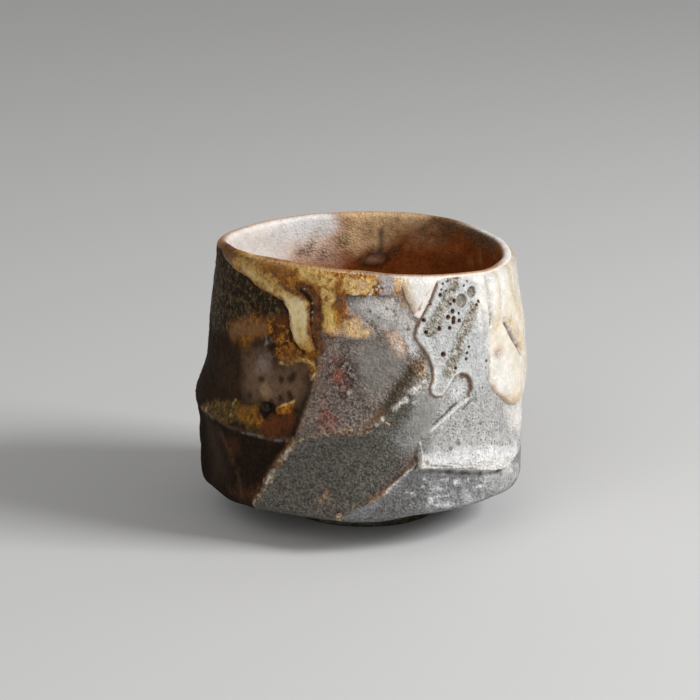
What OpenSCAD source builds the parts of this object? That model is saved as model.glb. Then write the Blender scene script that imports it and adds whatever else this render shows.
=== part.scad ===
// Guinomi sake cup: a thick stoneware wall hollowed out of one lump, faceted with a knife and wood fired.
// The clay, its luted foot ring, the slab lapped over one cut and the fired-on layers are separate solids.
// Origin: centre of the foot ring's resting face. +Z is up and -Y is the front of the cup.
// Directions are in degrees round the axis: 0 is right, 90 is the back, 180 is left and 270 is the front.
// Outlines on the wall are in percent of its height there: 0 is the heel and 100 is the lip's crest.

/* [Cup] */
// Mean height of the lip above the table
cup_height = 55.2; // [50:0.1:66]
// Mean outer radius of the wall at the lip
lip_radius = 29.6; // [26:0.1:32]
// Mean outer radius of the wall at the belly, its widest part
belly_radius = 32.6; // [31:0.1:40]
// Mean height of the belly above the table
belly_height = 22.5; // [18:0.5:28]
// How much higher than that the belly sits on the right, and lower on the left
belly_lean = 4.5; // [0:0.5:6]
// Thickness of the rounded lip
lip_thickness = 2.4; // [1.6:0.1:3.6]
// Thickness of the wall where it meets the floor
wall_thickness = 5.2; // [4:0.1:8]
// Thickness of the floor
floor_thickness = 6; // [4:0.1:9]
// Radius of the inside corner between wall and floor
floor_corner = 11; // [6:0.5:15]
// Radius of the outside corner where the wall turns under
heel_corner = 3.6; // [2.5:0.1:6]
// Rise of the underside from the foot ring to the heel
heel_rise = 2.8; // [0.5:0.1:4]

/* [Hand-made irregularity] */
// How far the plan is pulled out into an oval
oval_pull = 1.1; // [0:0.1:2]
// How far the cup is pushed off its axis to the left
side_push = 0.2; // [0:0.1:1]
// How far the lip rises towards its high side
lip_tilt = 0.85; // [0:0.05:1.5]
// Height of the two waves round the lip
lip_wave = 0.9; // [0:0.05:1.5]

/* [Carving] */
// Height of the ridges left standing between the knife cuts
ridge_height = 1.5; // [0.2:0.1:2]
// Distance from a ridge at which a cut has levelled out
ridge_reach = 8; // [5:0.5:14]
// Height over which the ridges run out below the lip
ridge_run_out = 9; // [4:0.5:14]
// Swell of the clay pushed out on the left side
left_swell = 0.8; // [0:0.1:2]

/* [Foot] */
// Outer radius of the foot ring where it rests
foot_radius = 15; // [12:0.1:19]
// Width of the foot ring where it rests
foot_width = 3.4; // [2:0.1:5]
// Height of the foot ring
foot_height = 3.2; // [2:0.1:6]
// How far the foot ring widens towards the cup, on each side
foot_flare = 0.8; // [0:0.1:1.5]
// Worn bevel along both edges of the resting face
foot_bevel = 0.4; // [0.1:0.05:0.8]

/* [Layers] */
// Gap between a layer and the wall under it
layer_gap = 0.15; // [0.1:0.01:0.3]
// Distance from the lip's rounding down to the top of the runs of glaze
glaze_drop = 0.5; // [0.1:0.1:1]
// Thickness of the lapped slab at its torn lower edge
slab_edge = 1.5; // [0.8:0.1:2.5]
// Thickness of the lapped slab where it dies away into the wall
slab_fade = 0.3; // [0.2:0.05:0.8]
// Percent of the wall's height at which the lapped slab dies away
slab_top = 36; // [30:0.5:37]
// Thickness of the bubbled glaze sheet
bubbled_coat = 0.8; // [0.4:0.05:1.5]
// Thickness of the cream glaze
cream_coat = 0.7; // [0.4:0.05:1.5]
// Thickness of the amber ash glaze
ash_coat = 0.5; // [0.3:0.05:1]
// Radius of the glass bead
bead_radius = 1.1; // [0.6:0.1:2]
// Radius of the largest feldspar grain
grain_radius = 0.9; // [0.5:0.1:1.4]

/* [Hidden] */
// Fineness of the wall: upright columns, drawn together by so many degrees towards the front, and rings
columns = 84;
column_pull = 22;
wall_rings = 32;
turn_rings = 5;
inner_rings = 7;

// Directions of the oval's long axis, the lip's high side and one of its two waves
oval_direction = -58;
tilt_direction = -156;
wave_direction = 58;
// Middle of the swell, and its reach in degrees and in mm
swell_spot = [183, 38];
swell_reach = [16, 4.2];

// Ridges left standing between the knife cuts, each a run of [direction, percent] points
ridges = [
    [[227, 0], [235, 14.5], [246.5, 33.5], [251.5, 55], [256.5, 69.5]],
    [[246.5, 33.5], [258.5, 37.5], [272, 39.5], [280, 48.5], [287.5, 58]],
    [[265, 6], [278.5, 16.5], [285.5, 24]],
    [[181, 35.5], [200, 33.5], [215, 32], [235, 31.5], [246.5, 33.5]],
    [[181, 35.5], [188, 0]],
    [[181, 35.5], [160, 43], [140, 33], [118, 43], [96, 36.5], [70, 52.5], [45, 32.5], [28, 39]],
    [[140, 33], [131, 0]],
    [[118, 43], [127, 86]],
    [[96, 36.5], [84, 0]],
    [[70, 52.5], [56, 85]],
    [[45, 32.5], [36, 0]]
];

// Lower edges of the layers, as [direction, percent]
slab_low = [[288.5, 24], [299, 22.5], [303, 22.5], [307, 20], [311, 18.5], [318.5, 16.5], [325, 16],
    [333, 17.5], [340, 19], [347, 22]];
bubbled_low = [[292.5, 53], [294, 52], [296.5, 51.5], [299.5, 56.5], [301, 59.5], [303.5, 60], [306, 59],
    [307.5, 55], [309, 48.5], [311.5, 47.5], [314, 51], [315.5, 56]];
cream_low = [[317, 53.5], [321, 48.5], [324, 46.5], [331, 41.5], [337, 40], [344, 41], [353, 45], [362, 54],
    [372, 68.5], [384, 84]];
wedge_low = [[283.5, 94], [286.5, 89.5], [288.5, 85.5], [290.5, 89], [294.5, 94]];
ash_low = [[203, 93.5], [213, 91.5], [221, 90], [228, 88], [235, 86], [241, 82], [243, 73], [245.5, 68.5],
    [248, 68.5], [249.5, 73], [251, 87], [252.5, 87], [254.5, 79], [257.5, 75], [260, 78.5], [261.5, 82],
    [265, 78], [268, 75], [270.5, 77.5], [272.5, 85], [275, 89.5], [281, 92]];
// Left edge of the bubbled sheet, as [percent, direction]
bubbled_left = [[53, 292], [56, 291], [59.5, 292.5], [64, 292.5], [68, 291.5], [71, 290], [76, 287],
    [80, 288], [88, 292], [95.5, 296.5], [100, 298.5]];
// Feldspar grains: direction, percent and share of the largest radius
grains = [[262, 4.2, 1], [256, 11, 0.7], [265, 39, 0.7], [277.5, 42, 0.6]];
bead_spot = [233.5, 43];
// Height of a drop's dome as a share of its radius, and how much of that stands up at its edge
drop_rise = 0.8;
drop_edge = 0.05;
// Share of the slab's width from which it thins out to the right
slab_taper = 0.6;
// The wall draws in this many times more slowly below the belly than above it
below_belly = 3;
// Where the underside bends, as a share of the way out to the heel and of the rise
under_bend = [0.6, 0.4];

function bell(x, half) = exp(-pow(x / half, 2));
function turn(a, b) = (a - b + 540) % 360 - 180;
function mix(p, q, t) = p + (q - p) * t;
function clamp(t) = min(1, max(0, t));
function ease(t) = t * t * (3 - 2 * t);
function last(list) = list[len(list) - 1];
function arc_mm(a) = a * PI / 180 * belly_radius;
function place(a, p) = [p[0] * cos(a), p[0] * sin(a), p[1]];

// The wall between the ridges: an oval barrel that leans, under a lip that tilts and waves
heel_z = foot_height + heel_rise;
heel_top = heel_z + heel_corner;
function lip_z(a) = cup_height + lip_tilt * cos(a - tilt_direction)
    + lip_wave * cos(2 * (a - wave_direction));
function up(a, percent) = mix(heel_z, lip_z(a), percent / 100);
function percent_at(a, z) = 100 * (z - heel_z) / (lip_z(a) - heel_z);
function belly_z(a) = belly_height + belly_lean * cos(a);
function barrel(a, z) = let (
        rise = z - belly_z(a),
        span = rise > 0 ? cup_height - belly_z(a) : below_belly * belly_z(a))
    belly_radius + oval_pull * cos(2 * (a - oval_direction)) - side_push * cos(a)
        - (belly_radius - lip_radius) * pow(rise / span, 2);

// How far the nearest ridge is, measured over the unrolled wall
function step_mm(from, to) = [arc_mm(turn(to[0], from[0])), to[1] - from[1]];
function line_mm(p, d) = norm(p + d * clamp(-(p * d) / (d * d)));
function raised(run) = [for (p = run) [p[0], up(p[0], p[1])]];
raised_ridges = [for (run = ridges) raised(run)];
function ridge_mm(a, z) = min([for (r = raised_ridges) for (i = [1 : len(r) - 1])
    line_mm(step_mm([a, z], r[i - 1]), step_mm(r[i - 1], r[i]))]);

// The cuts scoop up to sharp ridges, which run out below the lip, and the heel is rounded under them
function ridge(a, z) = ridge_height * pow(1 - clamp(ridge_mm(a, z) / ridge_reach), 2)
    * ease(clamp((lip_z(a) - lip_thickness - z) / ridge_run_out));
function swell(a, z) = left_swell * bell(turn(a, swell_spot[0]), swell_reach[0])
    * bell(z - up(a, swell_spot[1]), swell_reach[1]);
function heel(z) = let (t = clamp((heel_top - z) / heel_corner)) heel_corner * (1 - sqrt(1 - t * t));
function wall_r(a, z) = barrel(a, z) + ridge(a, z) + swell(a, z) - heel(z);

// The hollow keeps to the barrel, and the wall thins towards the lip
floor_z = foot_height + floor_thickness;
function inner_r(a, z) = barrel(a, z)
    - mix(wall_thickness, lip_thickness, clamp((z - floor_z) / (cup_height - lip_thickness - floor_z)));

// One upright section of the clay, from the underside out, up the wall, over the lip and down to the floor
foot_outer = foot_radius + foot_flare;
foot_inner = foot_radius - foot_width - foot_flare;
function section(a) = let (
        lip_mid = lip_z(a) - lip_thickness / 2,
        lip_r = wall_r(a, lip_mid) - lip_thickness / 2,
        corner_z = floor_z + floor_corner,
        corner_r = inner_r(a, corner_z) - floor_corner)
    concat(
        [[foot_inner, foot_height], [foot_outer, foot_height]],
        [[mix(foot_outer, wall_r(a, heel_z), under_bend[0]), mix(foot_height, heel_z, under_bend[1])]],
        [for (i = [0 : turn_rings - 1]) let (z = heel_z + heel_corner * (1 - cos(90 * i / turn_rings)))
            [wall_r(a, z), z]],
        [for (i = [0 : wall_rings]) let (z = mix(heel_top, lip_mid, i / wall_rings)) [wall_r(a, z), z]],
        [for (i = [1 : turn_rings]) let (t = 180 * i / (turn_rings + 1))
            [lip_r + lip_thickness / 2 * cos(t), lip_mid + lip_thickness / 2 * sin(t)]],
        [for (i = [0 : inner_rings]) let (z = mix(lip_mid, corner_z, i / inner_rings)) [inner_r(a, z), z]],
        [for (i = [1 : turn_rings]) let (t = 90 * i / turn_rings)
            [corner_r + floor_corner * cos(t), floor_z + floor_corner * (1 - sin(t))]]);

// Two triangles for the cell between rings k and k + 1 of two columns, split along its prouder diagonal
function cell(points, p, q) = norm(points[p + 1] + points[q]) > norm(points[p] + points[q + 1])
    ? [[p, p + 1, q], [q, p + 1, q + 1]] : [[p, p + 1, q + 1], [p, q + 1, q]];

module clay_body() {
    angles = [for (i = [0 : columns - 1]) let (t = 360 * i / columns) 90 + t + column_pull * sin(t)];
    rings = len(section(0));
    under = columns * rings;
    points = concat(
        [for (a = angles) each [for (p = section(a)) place(a, p)]],
        [[0, 0, foot_height], [0, 0, floor_z]]);
    faces = [for (i = [0 : columns - 1]) let (p = i * rings, q = (i + 1) % columns * rings) each concat(
        [[under, p, q], [under + 1, q + rings - 1, p + rings - 1]],
        [for (k = [0 : rings - 2]) each cell(points, p + k, q + k)])];
    color("#6f6a66") polyhedron(points, faces, convexity = 8);
}

module foot_ring() {
    color("#3b3532") rotate_extrude($fn = 120) polygon([
        [foot_radius - foot_width + foot_bevel, 0], [foot_radius - foot_bevel, 0], [foot_radius, foot_bevel],
        [foot_outer, foot_height], [foot_inner, foot_height], [foot_radius - foot_width, foot_bevel]]);
}

// A layer on the wall: spot(u, v) gives its [direction, height] and coat(u, v) its thickness.
// u and v run from 0 to 1, in so many steps across the wall and so many along it.
module layer(spot, coat, across, along) {
    rows = along + 1;
    side = (across + 1) * rows;
    points = [for (out = [0, 1]) for (i = [0 : across]) for (k = [0 : along])
        let (u = i / across, v = k / along, s = spot(u, v))
            place(s[0], [wall_r(s[0], s[1]) + layer_gap + out * coat(u, v), s[1]])];
    skins = [for (i = [0 : across - 1]) for (k = [0 : along - 1]) let (p = i * rows + k, q = p + rows) each [
        [p, p + 1, q], [q, p + 1, q + 1],
        [side + p, side + q, side + p + 1], [side + q, side + q + 1, side + p + 1]]];
    edge = concat([for (k = [0 : along - 1]) k], [for (i = [0 : across - 1]) i * rows + along],
        [for (k = [along : -1 : 1]) across * rows + k], [for (i = [across : -1 : 1]) i * rows]);
    rim = [for (j = [0 : len(edge) - 1]) let (p = edge[j], q = edge[(j + 1) % len(edge)]) each [
        [p, side + p, q], [q, side + p, side + q]]];
    polyhedron(points, concat(skins, rim), convexity = 8);
}

// A run of glaze that hangs from just under the lip down to its own lower edge
function run_spot(low, u, v) = let (a = mix(low[0][0], last(low)[0], u))
    [a, mix(up(a, lookup(a, low)), lip_z(a) - lip_thickness / 2 - glaze_drop, v)];

// A drop or grain on the wall: a square grid drawn into a disc and domed over it
function disc_spot(at, r, u, v) = let (x = 2 * u - 1, y = 2 * v - 1)
    [at[0] + r * x * sqrt(1 - y * y / 2) / arc_mm(1), up(at[0], at[1]) + r * y * sqrt(1 - x * x / 2)];
function dome(r, u, v) = let (x = 2 * u - 1, y = 2 * v - 1)
    drop_rise * r * sqrt(1 + drop_edge - clamp(x * x + y * y - x * x * y * y));
module drop(at, r, cells) {
    layer(function (u, v) disc_spot(at, r, u, v), function (u, v) dome(r, u, v), cells, cells);
}

module lapped_slab() {
    color("#cfcbc6") layer(
        function (u, v) let (a = mix(slab_low[0][0], last(slab_low)[0], u))
            [a, up(a, mix(lookup(a, slab_low), slab_top, v))],
        function (u, v) let (thin = ease(clamp((u - slab_taper) / (1 - slab_taper))))
            mix(slab_edge, slab_fade, max(v, thin)), 22, 5);
}

module bubbled_glaze() {
    right = last(bubbled_low)[0];
    color("#a9a59e") layer(
        function (u, v) let (
                s = run_spot(bubbled_low, u, v),
                left = lookup(percent_at(s[0], s[1]), bubbled_left))
            [mix(left, right, u), s[1]],
        function (u, v) bubbled_coat, 16, 14);
}

module cream_glaze() {
    color("#e6dac2") {
        layer(function (u, v) run_spot(cream_low, u, v), function (u, v) cream_coat, 22, 9);
        layer(function (u, v) run_spot(wedge_low, u, v), function (u, v) cream_coat, 8, 4);
    }
}

module ash_glaze() {
    color("#b9822f") layer(function (u, v) run_spot(ash_low, u, v), function (u, v) ash_coat, 52, 5);
}

module glass_bead() {
    color("#3f5a3c") drop(bead_spot, bead_radius, 6);
}

module feldspar_grains() {
    color("#efe6d4") for (g = grains) drop([g[0], g[1]], g[2] * grain_radius, 5);
}

clay_body();
foot_ring();
lapped_slab();
bubbled_glaze();
cream_glaze();
ash_glaze();
glass_bead();
feldspar_grains();
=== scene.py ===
"""Looks of a small wood-fired sake cup: the dressed pieces that stand for its plain solids."""

import itertools
import logging
import math
from contextlib import contextmanager
from dataclasses import dataclass
from enum import Enum
from typing import Iterator, Sequence

import bpy
import numpy as np
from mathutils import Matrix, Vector


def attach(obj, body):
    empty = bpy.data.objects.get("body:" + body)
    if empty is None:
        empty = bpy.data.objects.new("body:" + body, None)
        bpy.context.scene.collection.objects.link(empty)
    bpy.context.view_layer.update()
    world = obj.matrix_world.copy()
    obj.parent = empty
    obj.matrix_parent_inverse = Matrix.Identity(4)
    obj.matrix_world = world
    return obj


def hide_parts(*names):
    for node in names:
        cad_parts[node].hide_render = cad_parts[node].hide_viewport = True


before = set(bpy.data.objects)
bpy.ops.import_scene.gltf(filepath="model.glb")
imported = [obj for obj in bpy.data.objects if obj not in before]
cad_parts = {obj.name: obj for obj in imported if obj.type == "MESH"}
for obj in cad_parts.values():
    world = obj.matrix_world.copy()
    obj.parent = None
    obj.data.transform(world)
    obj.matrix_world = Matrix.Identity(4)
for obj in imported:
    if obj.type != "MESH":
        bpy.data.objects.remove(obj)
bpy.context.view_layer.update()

log = logging.getLogger("cup")

MM = 0.001
BODY = "root"
NEAR = 1e-6

# Whole numbers that scatter the corners of a noise cell
HASH_STEPS = np.array([73856093, 19349663, 83492791], np.uint64)
SEED_STEP = 2654435761
MIX_STEP = np.uint64(2246822519)
HASH_MASK = np.uint64(0xFFFF)
HASH_HALF = 0x8000

# Edges of painted marks: how far raggedness reaches, and sizes of the lumps that shape edges and gaps, in mm
RAGGED_REACH = 1.8
EDGE_LUMP_LEAST = 0.9
EDGE_LUMP = 2.2
GAP_LUMP = 1.1
GAP_RAMP = 0.45
SEED_SPREAD = (7, 13)
STROKE_EDGE = {"soft": 0.7, "ragged": 0.5}
SPOT_EDGE = {"soft": 0.5, "ragged": 0.4}

Floats = np.ndarray
Spot = tuple[float, float]
Place = tuple[float, float, float]
Run = Sequence[Spot]
Colour = tuple[float, float, float]


def ease(low: float, high: float, value: Floats) -> Floats:
    """Rises smoothly from 0 at low to 1 at high."""
    part = np.clip((value - low) / (high - low), 0.0, 1.0)
    return part * part * (3.0 - 2.0 * part)


def bell(value: Floats, half: float) -> Floats:
    """A hump of height 1 that has fallen to a third at half."""
    return np.exp(-((value / half) ** 2))


def turn(direction: Floats, about: float) -> Floats:
    """Degrees from about to direction, the short way round."""
    return (direction - about + 540.0) % 360.0 - 180.0


def hump(shape: Place, depth: Floats) -> Floats:
    """A hump beside an edge, by its height, how far in it lies and its half width."""
    height, inward, half = shape
    return height * bell(depth - inward, half)


@dataclass(frozen=True)
class Lumps:
    """Smooth noise in space, the same on every run."""

    seed: int

    def at(self, place: Floats, size: float) -> Floats:
        """Noise between -1 and 1.

        Args:
            place: Points in millimetres, one a row.
            size: How far apart the lumps are, in millimetres.
        Returns:
            One value a point.
        """
        scaled = place / size
        cell = np.floor(scaled).astype(np.int64)
        part = scaled - cell
        part = part * part * (3.0 - 2.0 * part)
        total = np.zeros(len(place))
        for corner in itertools.product((0, 1), repeat=3):
            key = (cell + corner).astype(np.uint64) * HASH_STEPS
            mixed = key[:, 0] ^ key[:, 1] ^ key[:, 2] ^ np.uint64(self.seed * SEED_STEP)
            mixed = (mixed ^ (mixed >> np.uint64(15))) * MIX_STEP
            mixed = (mixed ^ (mixed >> np.uint64(13))) & HASH_MASK
            weight = np.prod(np.where(corner, part, 1.0 - part), axis=1)
            total += weight * (mixed.astype(float) / HASH_HALF - 1.0)
        return total

    def rough(self, place: Floats, size: float, octaves: int = 3) -> Floats:
        """Noise with finer lumps on the larger ones, between about -1 and 1."""
        layers = [self.at(place, size / 2**i) / 2**i for i in range(octaves)]
        return np.sum(layers, axis=0)


class Noise(Enum):
    """The fields of noise that shape the cup, each with its seed and its lumps' size in mm."""

    LIP_DIPS = (2, 6.0)
    SOFT_WALL = (3, 7.0)
    FINE_WALL = (4, 2.2)
    SANDY_WALL = (5, 0.9)
    PIMPLES = (8, 1.9)
    SMALL_PIMPLES = (9, 0.85)
    FOOT_WEAR = (12, 2.5)
    FOOT_SHADE = (13, 5.0)
    TORN_LOWER = (21, 1.1)
    TORN_LEFT = (22, 1.2)
    CRUMBS = (31, 1.4)
    SHEET_EDGE = (41, 2.0)
    SHEET_SWELL = (42, 2.6)
    CRUST = (43, 0.8)
    CRUST_EDGE = (44, 1.0)
    CREAM_EDGE = (51, 2.8)
    CREAM_SWELL = (52, 4.5)
    ASH_EDGE = (61, 1.4)
    ASH_SWELL = (62, 1.5)
    ASH_RIM = (63, 1.3)

    def at(self, place: Floats) -> Floats:
        """Smooth values between -1 and 1."""
        seed, size = self.value
        return Lumps(seed).at(place, size)

    def rough(self, place: Floats) -> Floats:
        """Values with finer lumps on the larger ones."""
        seed, size = self.value
        return Lumps(seed).rough(place, size)


@dataclass(frozen=True)
class CupForm:
    """The cup's walls as functions of direction and height, in degrees and millimetres.

    Directions run round the axis: 0 is the right, 90 the back and 270 the front.
    """

    cup_height: float = 55.2
    lip_radius: float = 29.6
    lip_dips: float = 0.18
    lip_thickness: float = 2.4
    lip_tilt: float = 0.85
    tilt_direction: float = -156.0
    lip_wave: float = 0.9
    wave_direction: float = 58.0
    belly_radius: float = 32.6
    belly_height: float = 22.5
    belly_lean: float = 4.5
    below_belly: float = 3.0
    oval_pull: float = 1.1
    oval_direction: float = -58.0
    side_push: float = 0.2
    wall_thickness: float = 5.2
    floor_thickness: float = 6.0
    floor_corner: float = 11.0
    heel_corner: float = 3.6
    heel_rise: float = 2.8
    foot_radius: float = 15.0
    foot_width: float = 3.4
    foot_height: float = 3.2
    foot_flare: float = 0.8
    under_bend: Spot = (0.6, 0.4)
    ridge_height: float = 1.5
    ridge_reach: float = 8.0
    ridge_run_out: float = 9.0
    left_swell: float = 0.8
    swell_direction: float = 183.0
    swell_percent: float = 38.0
    swell_reach: Spot = (16, 4.2)
    ridges: tuple[Run, ...] = (
        ((227, 0), (235, 14.5), (246.5, 33.5), (251.5, 55), (256.5, 69.5)),
        ((246.5, 33.5), (258.5, 37.5), (272, 39.5), (280, 48.5), (287.5, 58)),
        ((265, 6), (278.5, 16.5), (285.5, 24)),
        ((181, 35.5), (200, 33.5), (215, 32), (235, 31.5), (246.5, 33.5)),
        ((181, 35.5), (188, 0)),
        ((181, 35.5), (160, 43), (140, 33), (118, 43), (96, 36.5), (70, 52.5), (45, 32.5), (28, 39)),
        ((140, 33), (131, 0)),
        ((118, 43), (127, 86)),
        ((96, 36.5), (84, 0)),
        ((70, 52.5), (56, 85)),
        ((45, 32.5), (36, 0)),
    )

    @property
    def heel_z(self) -> float:
        """Height where the wall starts."""
        return self.foot_height + self.heel_rise

    @property
    def heel_top(self) -> float:
        """Height where the rounded heel ends."""
        return self.heel_z + self.heel_corner

    @property
    def floor_z(self) -> float:
        """Height of the floor inside."""
        return self.foot_height + self.floor_thickness

    @property
    def foot_outer(self) -> float:
        """Radius of the foot where it meets the underside."""
        return self.foot_radius + self.foot_flare

    def arc(self, degrees: Floats) -> Floats:
        """Millimetres along the wall for so many degrees."""
        return np.radians(degrees) * self.belly_radius

    def crest(self, a: Floats) -> Floats:
        """Height of the lip, without its small dips."""
        tilt = self.lip_tilt * np.cos(np.radians(a - self.tilt_direction))
        return self.cup_height + tilt + self.lip_wave * np.cos(np.radians(2 * (a - self.wave_direction)))

    def lip_z(self, a: Floats) -> Floats:
        """Height of the lip's crest."""
        round_lip = self.place(a, self.lip_radius + 0.0 * a, 0.0 * a)
        return self.crest(a) - self.lip_dips * (1.0 + Noise.LIP_DIPS.at(round_lip))

    def up(self, a: Floats, percent: float) -> Floats:
        """Height at a percentage of the way from the heel to the lip."""
        return self.heel_z + (self.crest(a) - self.heel_z) * percent / 100.0

    def barrel(self, a: Floats, z: Floats) -> Floats:
        """Radius of the plain wall between the ridges."""
        belly = self.belly_height + self.belly_lean * np.cos(np.radians(a))
        rise = z - belly
        span = np.where(rise > 0, self.cup_height - belly, self.below_belly * belly)
        oval = self.oval_pull * np.cos(np.radians(2 * (a - self.oval_direction)))
        push = self.side_push * np.cos(np.radians(a))
        return self.belly_radius + oval - push - (self.belly_radius - self.lip_radius) * (rise / span) ** 2

    def run_mm(self, a: Floats, z: Floats, run: Run) -> Floats:
        """Distance over the unrolled wall to a run of (direction, height) points."""
        nearest = np.full(np.broadcast(a, z).shape, np.inf)
        if len(run) == 1:
            return np.hypot(self.arc(turn(a, run[0][0])), z - run[0][1])
        for (a0, z0), (a1, z1) in zip(run, run[1:]):
            dx, dz = self.arc(turn(np.float64(a1), a0)), z1 - z0
            x, y = self.arc(turn(a, a0)), z - z0
            along = np.clip((x * dx + y * dz) / (dx * dx + dz * dz), 0.0, 1.0)
            nearest = np.minimum(nearest, np.hypot(x - along * dx, y - along * dz))
        return nearest

    def outline_mm(self, a: Floats, z: Floats, outline: Run) -> Floats:
        """Distance in from a closed outline of (direction, height) points, negative outside it."""
        about = outline[0][0]
        x = turn(a, about)
        inside = np.zeros(np.broadcast(a, z).shape, bool)
        ring = list(outline) + [outline[0]]
        for (a0, z0), (a1, z1) in zip(ring, ring[1:]):
            x0, x1 = turn(np.float64(a0), about), turn(np.float64(a1), about)
            if z0 != z1:
                crosses = (z0 > z) != (z1 > z)
                inside ^= crosses & (x < x0 + (z - z0) * (x1 - x0) / (z1 - z0))
        return np.where(inside, 1.0, -1.0) * self.run_mm(a, z, ring)

    def raised(self, run: Run) -> Run:
        """The run with its percentages turned to heights."""
        return tuple((a, float(self.up(np.float64(a), percent))) for a, percent in run)

    def wall(self, a: Floats, z: Floats) -> Floats:
        """Radius of the faceted outer wall."""
        nearest = np.min([self.run_mm(a, z, self.raised(run)) for run in self.ridges], axis=0)
        fade = ease(0.0, self.ridge_run_out, self.lip_z(a) - self.lip_thickness - z)
        ridge = self.ridge_height * (1.0 - np.clip(nearest / self.ridge_reach, 0.0, 1.0)) ** 2 * fade
        swell = self.left_swell * bell(turn(a, self.swell_direction), self.swell_reach[0])
        swell = swell * bell(z - self.up(a, self.swell_percent), self.swell_reach[1])
        low = np.clip((self.heel_top - z) / self.heel_corner, 0.0, 1.0)
        heel = self.heel_corner * (1.0 - np.sqrt(1.0 - low * low))
        return self.barrel(a, z) + ridge + swell - heel

    def skin(self, a: Floats, z: Floats) -> Floats:
        """Radius of the outer wall, carried on over the round of the lip."""
        middle = self.lip_z(a) - self.lip_thickness / 2.0
        half = self.lip_thickness / 2.0
        high = np.clip(z - middle, 0.0, half)
        return self.wall(a, np.minimum(z, middle)) - half + np.sqrt(half * half - high * high)

    def hollow(self, a: Floats, z: Floats) -> Floats:
        """Radius of the inner wall."""
        part = np.clip((z - self.floor_z) / (self.cup_height - self.lip_thickness - self.floor_z), 0.0, 1.0)
        return self.barrel(a, z) - (self.wall_thickness + (self.lip_thickness - self.wall_thickness) * part)

    def place(self, a: Floats, r: Floats, z: Floats) -> Floats:
        """Points in millimetres, one a row."""
        turned = np.radians(a)
        return np.stack([r * np.cos(turned), r * np.sin(turned), z + 0.0 * r], axis=-1)

    def plain_place(self, a: Floats, z: Floats) -> Floats:
        """Points on the plain barrel, where noise is read so that layers agree with the clay."""
        return self.place(a, self.barrel(a, z), z)


@dataclass(frozen=True)
class Tint:
    """What one firing effect does to a surface.

    The second colour shows in flecks over a share of the surface, in upright streaks where streak is 1.
    """

    colour: Colour
    fleck: Colour
    share: float = 0.35
    rough: float = 0.7
    grit: float = 0.5
    pits: float = 0.0
    streak: float = 0.0

    def channels(self) -> Floats:
        """All of it in one row, in the order that write_channels reads."""
        feel = (self.streak, self.rough, self.grit, self.pits)
        return np.array([*self.colour, self.share, *self.fleck, *feel])


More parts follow.
